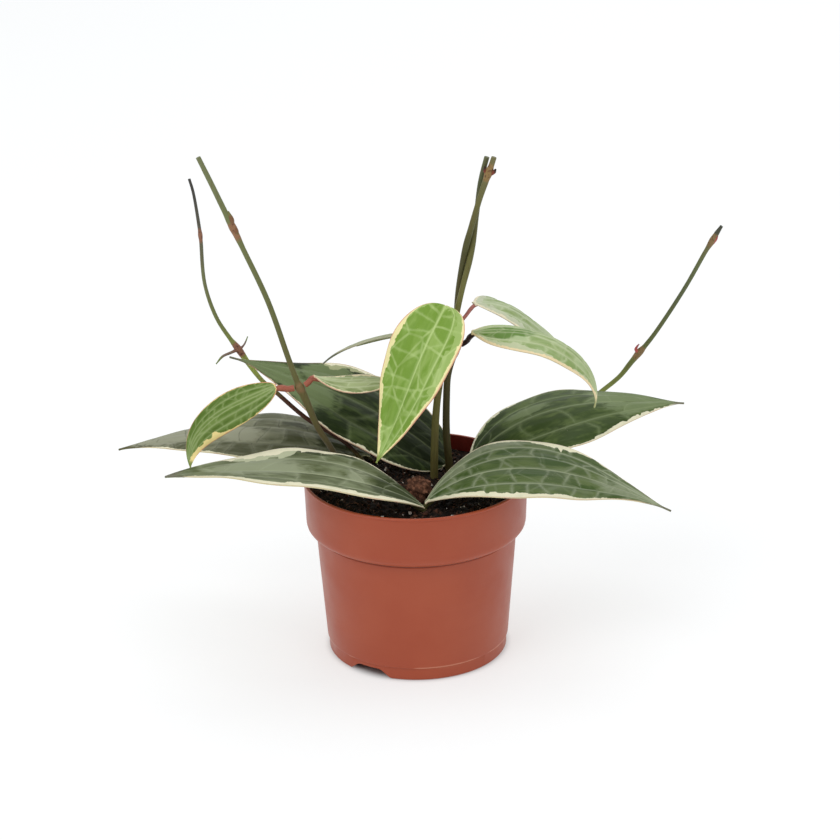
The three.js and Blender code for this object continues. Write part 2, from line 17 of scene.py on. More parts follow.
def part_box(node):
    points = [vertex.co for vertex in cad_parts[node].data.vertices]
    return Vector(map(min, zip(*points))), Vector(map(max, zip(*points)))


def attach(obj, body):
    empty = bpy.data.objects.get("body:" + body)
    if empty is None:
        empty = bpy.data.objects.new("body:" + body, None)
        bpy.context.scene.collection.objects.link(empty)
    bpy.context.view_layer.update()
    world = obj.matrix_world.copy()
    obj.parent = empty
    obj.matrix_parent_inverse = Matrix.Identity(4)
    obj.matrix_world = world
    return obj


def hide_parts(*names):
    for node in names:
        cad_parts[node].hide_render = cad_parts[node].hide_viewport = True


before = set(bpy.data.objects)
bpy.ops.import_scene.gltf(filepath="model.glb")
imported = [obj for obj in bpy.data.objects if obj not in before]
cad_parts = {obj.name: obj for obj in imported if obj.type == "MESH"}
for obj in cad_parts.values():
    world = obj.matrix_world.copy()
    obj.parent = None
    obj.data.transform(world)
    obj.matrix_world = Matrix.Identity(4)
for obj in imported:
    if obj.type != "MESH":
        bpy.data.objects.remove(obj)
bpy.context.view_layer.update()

LOG = logging.getLogger("hoya")
MM = 0.001
FULL_TURN = 2 * math.pi
# The distance in millimetres that is stored where nothing is near
FAR = 99.0
Point = tuple[float, float, float]
Knot = tuple[float, float, float, float]
Triple = tuple[float, float, float]
Colour = tuple[int, int, int]
Linear = tuple[float, float, float, float]
Profile = tuple[tuple[float, float], ...]
Piece = bpy.types.Object
Material = bpy.types.Material
Array = np.ndarray
Value = bpy.types.NodeSocket | float | Colour | Linear


class Light(Enum):
    """The studio's lamps."""

    KEY = "key"
    FILL = "fill"
    BACK = "back"
    TOP = "top"


class Cell(Enum):
    """What a cell pattern's distance is taken from."""

    CENTRE = "F1"
    WALL = "DISTANCE_TO_EDGE"


class Lump(Enum):
    """What the loose bits on the soil are."""

    DARK = 0
    BROWN = 1
    PERLITE = 2
    FIBRE = 3


def pot_axis() -> Vector:
    """Finds the pot's axis from its CAD node.

    Returns:
        The axis at the pot's foot, in metres in the row's frame.
    """
    low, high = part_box("pot")
    return Vector(((low.x + high.x) / 2, (low.y + high.y) / 2, 0.0))


def to_frame(points: Array) -> Array:
    """Moves table lengths into the frame.

    Args:
        points: an (n, 3) array in millimetres from the pot's axis.

    Returns:
        The same points in metres in the row's frame.
    """
    return points * MM + np.array(pot_axis())


def linear(colour: Colour, lift: float = 1.0) -> Linear:
    """Turns a colour as seen on a screen into the shader's linear one.

    Args:
        colour: red, green and blue, from 0 to 255.
        lift: how many times brighter it becomes.

    Returns:
        The linear colour, with no transparency.
    """
    shares = [value / 255 for value in colour]
    parts = [c / 12.92 if c <= 0.04045 else ((c + 0.055) / 1.055) ** 2.4 for c in shares]
    return (*(min(1.0, part * lift) for part in parts), 1.0)


def eased(share: Array) -> Array:
    """Lets a change start and end gently.

    Args:
        share: how far the change has gone, which may pass 0 and 1.

    Returns:
        The gentle share, from 0 to 1.
    """
    held = np.clip(share, 0, 1)
    return held * held * (3 - 2 * held)


# Mesh tools


def deselect() -> None:
    """Leaves nothing selected."""
    bpy.ops.object.select_all(action="DESELECT")


def pick(*objects: Piece) -> None:
    """Selects these objects alone, the first one active.

    Args:
        objects: the objects to select.
    """
    deselect()
    for one in objects:
        one.select_set(True)
    bpy.context.view_layer.objects.active = objects[0]


def coordinates(piece: Piece) -> Array:
    """Reads where the piece's vertices are.

    Args:
        piece: a mesh object.

    Returns:
        An (n, 3) array in the object's own units.
    """
    flat = np.zeros(len(piece.data.vertices) * 3, np.float32)
    piece.data.vertices.foreach_get("co", flat)
    return flat.reshape(-1, 3).astype(float)


def move_vertices(piece: Piece, points: Array) -> None:
    """Puts the piece's vertices at new places.

    Args:
        piece: a mesh object.
        points: an (n, 3) array in the object's own units.
    """
    piece.data.vertices.foreach_set("co", points.astype(np.float32).ravel())
    piece.data.update()


def store(piece: Piece, name: str, values: Array) -> None:
    """Keeps one number a vertex on the piece, for its material to read.

    Args:
        piece: a mesh object.
        name: the attribute's name.
        values: one number for each vertex.
    """
    attribute = piece.data.attributes.new(name, "FLOAT", "POINT")
    attribute.data.foreach_set("value", values.astype(np.float32))


def edit(piece: Piece) -> None:
    """Enters edit mode on the piece with everything selected.

    Args:
        piece: a mesh object.
    """
    pick(piece)
    bpy.ops.object.mode_set(mode="EDIT")
    bpy.ops.mesh.select_mode(type="VERT")
    bpy.ops.mesh.select_all(action="SELECT")


def leave_edit() -> None:
    """Goes back to object mode."""
    bpy.ops.object.mode_set(mode="OBJECT")


def apply_modifier(piece: Piece, kind: str, **settings: object) -> None:
    """Adds a modifier with its settings and applies it.

    Args:
        piece: the object.
        kind: Blender's name for the modifier's type.
        settings: the modifier's own settings.
    """
    modifier = piece.modifiers.new(kind.lower(), kind)
    for key, value in settings.items():
        setattr(modifier, key, value)
    pick(piece)
    bpy.ops.object.modifier_apply(modifier=modifier.name)


def turned(name: str, profile: Profile, steps: int) -> Piece:
    """Spins a closed profile about the pot's axis.

    Args:
        name: the new object's name.
        profile: (radius, height) pairs in millimetres, from the axis back to the axis.
        steps: how many segments the round has.

    Returns:
        The closed round body, in millimetres about the origin.
    """
    deselect()
    bpy.ops.mesh.primitive_circle_add(vertices=len(profile), radius=1, fill_type="NOTHING")
    piece = bpy.context.object
    piece.name = name
    move_vertices(piece, np.array([(r, 0.0, z) for r, z in profile]))
    edit(piece)
    bpy.ops.mesh.spin(steps=steps, angle=FULL_TURN, center=(0, 0, 0), axis=(0, 0, 1))
    bpy.ops.mesh.select_all(action="SELECT")
    bpy.ops.mesh.remove_doubles(threshold=1e-4)
    bpy.ops.mesh.delete_loose(use_verts=True, use_edges=True, use_faces=False)
    bpy.ops.mesh.select_all(action="SELECT")
    bpy.ops.mesh.normals_make_consistent(inside=False)
    leave_edit()
    return piece


def smooth_route(knots: list[Knot], per_span: int) -> Array:
    """Draws a smooth line through knots, with each span's pace set by the gaps around it.

    Args:
        knots: (x, y, z, radius) points.
        per_span: steps from one knot to the next.

    Returns:
        An (n, 4) array of places and radii.
    """
    given = np.array(knots, float)
    ends = np.vstack([2 * given[0] - given[1], given, 2 * given[-1] - given[-2]])
    out = []
    for i in range(len(given) - 1):
        p = ends[i:i + 4, :3]
        gaps = np.maximum(np.linalg.norm(np.diff(p, axis=0), axis=1) ** 0.5, 1e-4)
        t = np.concatenate([[0.0], np.cumsum(gaps)])
        last = i == len(given) - 2
        share = np.linspace(0, 1, per_span + 1)[:per_span + last]
        at = (t[1] + (t[2] - t[1]) * share)[:, None]
        a1 = (t[1] - at) / (t[1] - t[0]) * p[0] + (at - t[0]) / (t[1] - t[0]) * p[1]
        a2 = (t[2] - at) / (t[2] - t[1]) * p[1] + (at - t[1]) / (t[2] - t[1]) * p[2]
        a3 = (t[3] - at) / (t[3] - t[2]) * p[2] + (at - t[2]) / (t[3] - t[2]) * p[3]
        b1 = (t[2] - at) / (t[2] - t[0]) * a1 + (at - t[0]) / (t[2] - t[0]) * a2
        b2 = (t[3] - at) / (t[3] - t[1]) * a2 + (at - t[1]) / (t[3] - t[1]) * a3
        c = (t[2] - at) / (t[2] - t[1]) * b1 + (at - t[1]) / (t[2] - t[1]) * b2
        radius = given[i, 3] + (given[i + 1, 3] - given[i, 3]) * eased(share)
        out.append(np.column_stack([c, radius]))
    return np.vstack(out)


def stalk(name: str, knots: list[Knot], per_span: int, smoothness: int) -> Piece:
    """Makes a round tapering stalk with closed ends.

    Args:
        name: the new object's name.
        knots: (x, y, z, radius) points in millimetres from the pot's axis.
        per_span: steps from one knot to the next.
        smoothness: the bevel's resolution; 0 gives four sides, and each step adds two.

    Returns:
        The mesh object, in metres in the row's frame.
    """
    route = smooth_route(knots, per_span)
    deselect()
    bpy.ops.curve.primitive_nurbs_path_add(radius=1)
    piece = bpy.context.object
    piece.name = name
    shape = piece.data
    shape.splines.clear()
    line = shape.splines.new("POLY")
    line.points.add(len(route) - 1)
    places = to_frame(route[:, :3])
    line.points.foreach_set("co", np.column_stack([places, np.ones(len(route))]).ravel())
    line.points.foreach_set("radius", route[:, 3])
    shape.dimensions = "3D"
    shape.bevel_depth = MM
    shape.bevel_resolution = smoothness
    shape.use_fill_caps = True
    pick(piece)
    bpy.ops.object.convert(target="MESH")
    piece = bpy.context.object
    edit(piece)
    bpy.ops.mesh.remove_doubles(threshold=1e-7)
    bpy.ops.mesh.normals_make_consistent(inside=False)
    leave_edit()
    bpy.ops.object.shade_smooth_by_angle(angle=math.radians(60))
    return piece


def joined(pieces: list[Piece]) -> Piece:
    """Joins objects into the first one.

    Args:
        pieces: mesh objects.

    Returns:
        The first object, which now holds them all.
    """
    pick(*pieces)
    if len(pieces) > 1:
        bpy.ops.object.join()
    return pieces[0]


def add_materials(piece: Piece, materials: list[Material]) -> None:
    """Adds materials to a piece, in their order.

    Args:
        piece: a mesh object.
        materials: what to add.
    """
    for material in materials:
        piece.data.materials.append(material)


def paint_all(piece: Piece, number: int) -> None:
    """Gives all faces of a piece one of its materials.

    Args:
        piece: a mesh object.
        number: the material's number on the piece.
    """
    piece.data.polygons.foreach_set("material_index", np.full(len(piece.data.polygons), number))


def dress(piece: Piece, node: str | None,
          materials: list[Material]) -> None:
    """Gives a piece its materials and its body, and hides the CAD node that it stands for.

    Args:
        piece: the finished object.
        node: the CAD node that it stands for, or None.
        materials: its materials, which its faces already number.
    """
    numbers = np.zeros(len(piece.data.polygons), int)
    piece.data.polygons.foreach_get("material_index", numbers)
    piece.data.materials.clear()
    add_materials(piece, materials)
    piece.data.polygons.foreach_set("material_index", np.minimum(numbers, len(materials) - 1))
    if node:
        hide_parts(node)
    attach(piece, "root")
    mesh = piece.data
    LOG.info("%s: %d vertices, %d faces", piece.name, len(mesh.vertices), len(mesh.polygons))


# Materials


class Shade:
    """One material's nodes, laid out step by step around a single surface shader."""

    def __init__(self, name: str, roughness: float, specular: float) -> None:
        """Starts a material.

        Args:
            name: the material's name.
            roughness: the surface's roughness.
            specular: the shader's specular level.
        """
        self.material = bpy.data.materials.new(name)
        self.material.use_nodes = True
        self.tree = self.material.node_tree
        self.tree.nodes.clear()
        output = self.tree.nodes.new("ShaderNodeOutputMaterial")
        self.surface = self.tree.nodes.new("ShaderNodeBsdfPrincipled")
        self.tree.links.new(self.surface.outputs["BSDF"], output.inputs["Surface"])
        self.surface.inputs["Roughness"].default_value = roughness
        self.surface.inputs["Specular IOR Level"].default_value = specular

    def put(self, socket: bpy.types.NodeSocket, value: Value) -> None:
        """Links a socket to a value, or sets it.

        Args:
            socket: an input.
            value: another node's output, a number, a screen colour or a linear one.
        """
        if isinstance(value, bpy.types.NodeSocket):
            self.tree.links.new(value, socket)
        elif isinstance(value, tuple) and len(value) == 3 and socket.type == "RGBA":
            socket.default_value = linear(value)
        else:
            socket.default_value = value

    def attribute(self, name: str) -> Value:
        """Reads a number stored on the mesh.

        Args:
            name: the attribute's name.

        Returns:
            The number.
        """
        node = self.tree.nodes.new("ShaderNodeAttribute")
        node.attribute_name = name
        return node.outputs["Fac"]

    def place(self, stretch: Point = (1.0, 1.0, 1.0)) -> Value:
        """Returns: the place on the object, scaled by stretch, in metres where nothing is scaled."""
        return self._scaled("ShaderNodeTexCoord", "Object", stretch)

    def blade(self, stretch: Point = (1.0, 1.0, 1.0)) -> Value:
        """Returns: the place along and across a leaf's blade, scaled by stretch, as in place."""
        return self._scaled("ShaderNodeUVMap", "UV", stretch)

    def _scaled(self, kind: str, output: str, stretch: Point) -> Value:
        """Reads a place and scales it.

        Args:
            kind: the node that gives it.
            output: the name of that node's output.
            stretch: how much each direction is scaled.

        Returns:
            The scaled place.
        """
        source = self.tree.nodes.new(kind)
        if output == "UV":
            source.uv_map = "blade"
        node = self.tree.nodes.new("ShaderNodeMapping")
        node.inputs["Scale"].default_value = stretch
        self.tree.links.new(source.outputs[output], node.inputs["Vector"])
        return node.outputs["Vector"]

    def noise(self, where: Value, scale: float, detail: float = 3.0, twist: float = 0.0) -> Value:
        """Adds a soft noise.

        Args:
            where: the vector that it reads.
            scale: cycles a metre.
            detail: octaves.
            twist: distortion.

        Returns:
            The noise, from 0 to 1.
        """
        node = self.tree.nodes.new("ShaderNodeTexNoise")
        self.put(node.inputs["Vector"], where)
        node.inputs["Scale"].default_value = scale
        node.inputs["Detail"].default_value = detail
        node.inputs["Distortion"].default_value = twist
        return node.outputs["Fac"]

    def cells(self, where: Value, scale: float, measure: Cell = Cell.CENTRE) -> Value:
        """Adds a pattern of irregular cells.

        Args:
            where: the vector that it reads.
            scale: cells a metre.
            measure: what the distance is taken from.

        Returns:
            The distance, in cells.
        """
        node = self.tree.nodes.new("ShaderNodeTexVoronoi")
        node.feature = measure.value
        self.put(node.inputs["Vector"], where)
        node.inputs["Scale"].default_value = scale
        return node.outputs["Distance"]

    def step(self, value: Value, low: float, high: float, start: float = 0.0, end: float = 1.0) -> Value:
        """Eases from one number to another as a value passes between two limits.

        Args:
            value: what is read.
            low: where the change starts; it may lie above high, and the change then runs downwards.
            high: where the change ends.
            start: the result at low.
            end: the result at high.

        Returns:
            The eased number.
        """
        node = self.tree.nodes.new("ShaderNodeMapRange")
        node.interpolation_type = "SMOOTHSTEP"
        self.put(node.inputs["Value"], value)
        for key, number in (("From Min", low), ("From Max", high), ("To Min", start), ("To Max", end)):
            node.inputs[key].default_value = number
        return node.outputs["Result"]

    def sum(self, first: Value, second: Value, weight: float = 1.0) -> Value:
        """Adds a weighted value to another one.

        Args:
            first: a value.
            second: a value.
            weight: the second's share.

        Returns:
            First plus weight times second.
        """
        node = self.tree.nodes.new("ShaderNodeMath")
        node.operation = "MULTIPLY_ADD"
        self.put(node.inputs[0], second)
        node.inputs[1].default_value = weight
        self.put(node.inputs[2], first)
        return node.outputs["Value"]

    def times(self, first: Value, second: Value) -> Value:
        """Multiplies two values.

        Args:
            first: a value.
            second: a value.

        Returns:
            Their product.
        """
        node = self.tree.nodes.new("ShaderNodeMath")
        node.operation = "MULTIPLY"
        self.put(node.inputs[0], first)
        self.put(node.inputs[1], second)
        return node.outputs["Value"]

    def blend(self, share: Value, first: Value, second: Value) -> Value:
        """Turns one colour into another.

        Args:
            share: the second colour's share, 0 to 1.
            first: a colour.
            second: a colour.

        Returns:
            The mixed colour.
        """
        node = self.tree.nodes.new("ShaderNodeMix")
        node.data_type = "RGBA"
        inputs = [s for s in node.inputs if s.enabled]
        self.put(inputs[0], share)
        self.put(inputs[1], first)
        self.put(inputs[2], second)
        return next(s for s in node.outputs if s.enabled)

    def bands(self, value: Value, stops: tuple[tuple[float, Colour], ...], top: float) -> Value:
        """Changes a colour with a value, from stop to stop.

        Args:
            value: what is read, from 0 to top.
            stops: (value, colour) pairs, rising.
            top: the value at the end of the scale.

        Returns:
            The colour.
        """
        node = self.tree.nodes.new("ShaderNodeValToRGB")
        ramp = node.color_ramp
        for place, _ in stops[2:]:
            ramp.elements.new(place / top)
        for element, (place, colour) in zip(ramp.elements, sorted(stops)):
            element.position = place / top
            element.color = linear(colour)
        self.put(node.inputs["Fac"], self.times(value, 1.0 / top))
        return node.outputs["Color"]

    def relief(self, height: Value, depth: float, strength: float = 1.0) -> None:
        """Adds fine relief to the surface.

        Args:
            height: 0 to 1.
            depth: metres from 0 to 1.
            strength: the bump's strength.
        """
        node = self.tree.nodes.new("ShaderNodeBump")
        node.inputs["Strength"].default_value = strength
        node.inputs["Distance"].default_value = depth
        self.put(node.inputs["Height"], height)
        self.tree.links.new(node.outputs["Normal"], self.surface.inputs["Normal"])

    def finish(self, colour: Value, roughness: Value | None = None) -> Material:
        """Ends the material.

        Args:
            colour: the surface's colour.
            roughness: a roughness that varies, or None to keep the constant one.

        Returns:
            The material.
        """
        self.put(self.surface.inputs["Base Color"], colour)
        if roughness is not None:
            self.put(self.surface.inputs["Roughness"], roughness)
        return self.material


@dataclass(frozen=True)
class PlasticFinish:
    """Moulded terracotta-coloured plastic: satin, a little mottled, with faint flow lines round it."""

    body: Colour = (162, 67, 33)
    worn: Colour = (167, 74, 41)
    deep: Colour = (150, 60, 29)
    # painted shade: the inside of the wall is coloured darker all over
    inside: Colour = (112, 32, 23)
    # painted shade in the crease under the top band
    crease: Colour = (84, 32, 20)
    # painted highlight along the ledge above the foot ring
    shine: Colour = (214, 146, 116)
    coat: float = 0.12
    coat_roughness: float = 0.3

    def material(self) -> Material:
        """Lays out the plastic: clouds, flow lines, specks, painted shade on the inside and in the crease,
        and a patchy painted highlight along the ledge.

        Returns:
            The pot's material.
        """
        shade = Shade("terracotta_plastic", 0.42, 0.4)
        shade.surface.inputs["Coat Weight"].default_value = self.coat
        shade.surface.inputs["Coat Roughness"].default_value = self.coat_roughness
        here = shade.place()
        cloud = shade.step(shade.noise(here, 28, 4), 0.35, 0.7)
        colour = shade.blend(cloud, self.body, self.worn)
        rings = shade.noise(shade.place((14, 14, 900)), 1, 2)
        colour = shade.blend(shade.step(rings, 0.55, 0.8, 0, 0.12), colour, self.deep)
        specks = shade.cells(here, 900)
        colour = shade.blend(shade.step(specks, 0.1, 0.02, 0, 0.25), colour, self.worn)
        # painted shade on the pot's inner surface
        colour = shade.blend(shade.step(shade.attribute("inner"), 0.2, 0.8), colour, self.inside)
        # painted shade in the crease under the top band
        colour = shade.blend(shade.step(shade.attribute("crease"), 0.2, 0.9, 0, 0.7), colour, self.crease)
        # painted highlight along the ledge, broken up by noise
        ledge_highlight = shade.times(shade.attribute("ledge"), shade.step(shade.noise(here, 45, 2), 0.4, 0.6))
        colour = shade.blend(shade.step(ledge_highlight, 0.2, 0.8, 0, 0.75), colour, self.shine)
        shade.relief(shade.sum(shade.noise(here, 2600, 2), rings, 0.6), 0.00006, 0.5)
        return shade.finish(colour, shade.step(shade.noise(here, 60, 3), 0.3, 0.75, 0.36, 0.5))


@dataclass(frozen=True)
class SoilFinish:
    """Moist dark peat with brown crumbs."""

    name: str = "dark_peat"
    deep: Colour = (18, 12, 9)
    crumb: Colour = (54, 37, 28)
    light: Colour = (124, 92, 72)
    light_share: float = 0.4

    def material(self) -> Material:
        """Lays out the peat: dark hollows, brown crumbs and a few pale flecks.

        Returns:
            The soil's material.
        """
        shade = Shade(self.name, 0.88, 0.25)
        here = shade.place()
        colour = shade.blend(shade.step(shade.noise(here, 420, 6), 0.42, 0.68), self.deep, self.crumb)
        grain = shade.step(shade.cells(here, 1400), 0.22, 0.05)
        fleck = shade.times(grain, shade.step(shade.noise(here, 260, 2), 0.5, 0.7))
        colour = shade.blend(shade.step(fleck, 0, 1, 0, self.light_share), colour, self.light)
        shade.relief(shade.noise(here, 1500, 6), 0.0005, 0.9)
        return shade.finish(colour)


@dataclass(frozen=True)
class BlotchedFinish:
    """One colour blotched with another, as on leaf stalks, fibres and perlite grains.

    Blotches are cycles a metre, limits are where in the noise a blotch begins and is full, share is how
    strong it gets, and grain is the fine relief's cycles a metre, its depth in metres and its strength.
    """

    name: str
    skin: Colour
    # on the old, salmon and blushed leaf stalks the blotch is a darker copy of the skin, painted shade; on
    # the other finishes it is their own colour
    blotch: Colour
    roughness: float = 0.45
    blotches: float = 240.0
    detail: float = 4.0
    limits: tuple[float, float] = (0.48, 0.72)
    share: float = 0.7
    grain: Triple | None = (1500.0, 0.00006, 0.5)

    def material(self) -> Material:
        """Lays out the skin, its blotches and its grain.

        Returns:
            The material.
        """
        shade = Shade(self.name, self.roughness, 0.3)
        here = shade.place()
        share = shade.step(shade.noise(here, self.blotches, self.detail), *self.limits, 0, self.share)
        if self.grain:
            scale, depth, strength = self.grain
            shade.relief(shade.noise(here, scale, 3), depth, strength)
        return shade.finish(shade.blend(share, self.skin, self.blotch))


PERLITE = BlotchedFinish("perlite", (236, 228, 222), (176, 150, 138), 0.8, 1300, 4, (0.4, 0.65), 1.0,
                         (4200.0, 0.0001, 1.0))
FIBRE = BlotchedFinish("peat_fibre", (70, 44, 36), (138, 98, 78), 0.8, 700, 3, (0.35, 0.7), 1.0, None)


@dataclass(frozen=True)
class StemFinish:
    """A smooth green stem whose colour changes on its way up, brown and cracked at its nodes.

    A stop is (height in millimetres, colour), and top is the height where the scale ends.
    """

    name: str
    stops: tuple[tuple[float, Colour], ...]
    node: Colour
    scar: Colour
    spur: Colour = (104, 74, 66)
    bud: Colour = (112, 116, 66)
    dots: Colour = (170, 164, 130)
    top: float = 300.0

    def material(self) -> Material:
        """Lays out the stem: its colours by height, streaks, cracked nodes, spurs with buds, pale dots.

        Returns:
            The stem's material.
        """
        shade = Shade(self.name, 0.5, 0.25)
        here = shade.place()
        rise = shade.sum(shade.attribute("height"), shade.noise(here, 90, 3), 14.0)
        colour = shade.bands(rise, self.stops, self.top)
        streak = shade.noise(shade.place((900, 900, 60)), 1, 4)
        colour = shade.blend(shade.step(streak, 0.5, 0.72, 0, 0.3), colour, self.scar)
        ring = shade.sum(shade.attribute("node"), shade.noise(here, 420, 3), 0.6)
        colour = shade.blend(shade.step(ring, 0.5, 1.1), colour, self.node)
        crack = shade.times(shade.step(ring, 0.85, 1.15), shade.step(shade.noise(here, 700, 3), 0.5, 0.66))
        colour = shade.blend(crack, colour, self.scar)
        along_spur = shade.attribute("spur")
        colour = shade.blend(shade.step(along_spur, 0.1, 0.4, 0, 0.9), colour, self.spur)
        colour = shade.blend(shade.step(along_spur, 0.6, 0.85), colour, self.bud)
        dot = shade.times(shade.step(shade.cells(here, 700), 0.13, 0.04),
                          shade.step(shade.noise(here, 110, 1), 0.5, 0.62))
        colour = shade.blend(shade.step(dot, 0, 1, 0, 0.3), colour, self.dots)
        shade.relief(shade.sum(streak, shade.noise(here, 1400, 3), 0.5), 0.00014, 0.8)
        return shade.finish(colour, shade.step(streak, 0.3, 0.8, 0.42, 0.6))


@dataclass(frozen=True)
class LeafFinish:
    """The upper and lower skin of a leaf, read from the numbers stored on its blade.

    Widths and reaches are in millimetres, strengths are shares from 0 to 1, web_cells are cells a metre,
    and tip_start is the place along the leaf where its dark tip begins.
    """

    name: str
    dark: Colour
    light: Colour
    # silver is the leaf's silvery tone along the nerves and in streaks; in the light patches it is also
    # painted sheen
    silver: Colour
    nerve: Colour
    sage: Colour
    cream: Colour = (240, 236, 206)
    flush: Colour = (226, 178, 160)
    tip: Colour = (112, 110, 90)
    under: Colour = (150, 158, 112)
    edge: Colour = (216, 206, 164)
    inlay: Colour | None = None
    deep: Colour | None = None
    # net is a colour for the rungs in place of the nerve colour; the far left leaf's dark one is painted
    # shade in its wrinkles
    net: Colour | None = None
    cell_contrast: float = 0.3
    roughness: float = 0.45
    gloss: float = 0.16
    halo: float = 0.5
    halo_reach: float = 2.6
    nerve_strength: float = 0.55
    net_strength: float = 0.35
    flush_width: float = 0.35
    flush_strength: float = 0.55
    tip_start: float = 0.94
    streak: float = 0.2
    web: float = 0.0
    web_cells: float = 64.0

    def _flesh(self, shade: Shade, mottle: Value, ragged: Value) -> Value:
        """Lays out the ground: cells, silver along the nerves, patches, streaks and the sage band; the
        silver patches are partly painted sheen.

        Args:
            shade: the material in the making.
            mottle: the noise that tints the cells.
            ragged: the finer noise that frays the patches.

        Returns:
            The colour so far.
        """
        tone = shade.sum(mottle, shade.attribute("tone"), self.cell_contrast)
        colour = shade.blend(shade.step(tone, 0.5, 0.62 + self.cell_contrast), self.dark, self.light)
        reach = self.halo_reach
        near = shade.sum(shade.attribute("halo"), ragged, -reach * 0.9)
        silvered = shade.step(near, reach * 0.55, -reach * 0.35, 0, self.halo)
        colour = shade.blend(silvered, colour, self.silver)
        patch = shade.sum(shade.attribute("patch"), ragged, 0.5)
        # light patches take the inlay colour where a leaf has one, else the silver, which there is partly
        # painted sheen
        colour = shade.blend(shade.step(patch, 0.62, 0.92, 0, 0.85), colour, self.inlay or self.silver)
        colour = shade.blend(shade.step(patch, -0.1, -0.35, 0, 0.85), colour, self.deep or self.dark)
        streak = shade.noise(shade.blade((0.1, 1.0, 1.0)), 700, 4)
        colour = shade.blend(shade.step(streak, 0.5, 0.8, 0, self.streak), colour, self.silver)
        sage = shade.sum(shade.attribute("sage"), ragged, 2.4)
        return shade.blend(shade.step(sage, 1.35, 1.05, 0, 0.9), colour, self.sage)

    def _nerves(self, shade: Shade, colour: Value) -> Value:
        """Draws the net of rungs, the fine web of cells, the nerves and a few pale specks.

        Args:
            shade: the material in the making.
            colour: the colour so far.

        Returns:
            The colour with them.
        """
        here = shade.blade()
        faint = shade.step(shade.noise(here, 90, 2), 0.35, 0.6, 0.35, 1.0)
        net = shade.step(shade.attribute("net"), 0.85, 0.05, 0, self.net_strength)
        # rungs in the net colour where a leaf has one (painted shade on the far left leaf), else in the
        # nerve colour
        colour = shade.blend(shade.times(net, faint), colour, self.net or self.nerve)
        wall = shade.cells(shade.blade((0.8, 1.0, 1.0)), self.web_cells, Cell.WALL)
        web = shade.step(wall, 0.055, 0.012, 0, self.web)
        colour = shade.blend(shade.times(web, faint), colour, self.nerve)
        nerve = shade.step(shade.attribute("nerve"), 0.55, -0.2, 0, self.nerve_strength)
        colour = shade.blend(nerve, colour, self.nerve)
        speck = shade.times(shade.step(shade.cells(here, 620), 0.13, 0.05),
                            shade.step(shade.noise(here, 60, 1), 0.62, 0.7))
        return shade.blend(shade.step(speck, 0, 1, 0, 0.6), colour, self.cream)

    def _border(self, shade: Shade, colour: Value) -> Value:
        """Adds what follows the margin: the toothed cream band, the flushed rim and the dark tip.

        Args:
            shade: the material in the making.
            colour: the colour so far.

        Returns:
            The colour with them.
        """
        here = shade.blade()
        tooth = shade.noise(shade.blade((0.55, 1.0, 1.0)), 850, 3)
        band = shade.sum(shade.attribute("cream"), tooth, 1.5)
        stain = shade.step(shade.noise(here, 140, 3), 0.5, 0.75, 0, 0.3)
        stained = shade.blend(stain, self.cream, self.sage)
        colour = shade.blend(shade.step(band, 0.95, 0.55), colour, stained)
        width = self.flush_width
        rim = shade.sum(shade.attribute("margin"), shade.noise(here, 120, 2), width * 1.6)
        flushed = shade.step(rim, width * 1.7, width * 0.9, 0, self.flush_strength)
        run = shade.attribute("run")
        colour = shade.blend(shade.times(flushed, shade.step(run, 0.95, 0.85)), colour, self.flush)
        end = shade.sum(run, shade.noise(here, 160, 2), 0.03)
        tipped = shade.step(end, self.tip_start, self.tip_start + 0.045, 0, 0.9)
        return shade.blend(tipped, colour, self.tip)

    def upper(self) -> Material:
        """Builds the upper side up from its flesh to its margin.

        Returns:
            The upper side's material.
        """
        shade = Shade(self.name + "_upper", self.roughness, self.gloss)
        long_cells = shade.blade((0.35, 1.0, 1.0))
        mottle = shade.noise(long_cells, 240, 4, 0.4)
        ragged = shade.noise(long_cells, 520, 3, 0.8)
        colour = self._flesh(shade, mottle, ragged)
        colour = self._nerves(shade, colour)
        colour = self._border(shade, colour)
        grain = shade.noise(shade.blade(), 1800, 3)
        shade.relief(shade.sum(mottle, grain, 0.35), 0.00025, 0.6)
        sheen = shade.step(mottle, 0.3, 0.75, self.roughness - 0.07, self.roughness + 0.09)
        return shade.finish(colour, sheen)

    def lower(self) -> Material:
        """Lays out the underside, paler and duller, with its nerves showing.

        Returns:
            The lower side's material.
        """
        shade = Shade(self.name + "_under", 0.62, 0.2)
        cloud = shade.noise(shade.blade((0.4, 1.0, 1.0)), 200, 4)
        colour = shade.blend(shade.step(cloud, 0.4, 0.7), self.under, linear(self.under, 1.35))
        colour = shade.blend(shade.step(shade.attribute("net"), 0.8, 0.2, 0, 0.35), colour, self.nerve)
        colour = shade.blend(shade.step(shade.attribute("nerve"), 0.6, -0.1, 0, 0.6), colour, self.nerve)
        colour = shade.blend(shade.step(shade.attribute("cream"), 0.3, -0.1, 0, 0.8), colour, self.cream)
        shade.relief(shade.noise(shade.blade(), 1500, 4), 0.0002, 0.6)
        return shade.finish(colour)

    def rim(self) -> Material:
        """Lays out the thin edge, cream with a pink flush, and dark at the tip.

        Returns:
            The edge's material.
        """
        shade = Shade(self.name + "_edge", 0.5, 0.25)
        here = shade.place()
        share = shade.step(shade.noise(here, 160, 3), 0.5, 0.68, 0, self.flush_strength)
        colour = shade.blend(share, self.edge, self.flush)
        end = shade.sum(shade.attribute("run"), shade.noise(here, 160, 2), 0.03)
        tipped = shade.step(end, self.tip_start - 0.05, self.tip_start)
        return shade.finish(shade.blend(tipped, colour, self.tip))


# The pot and what fills it


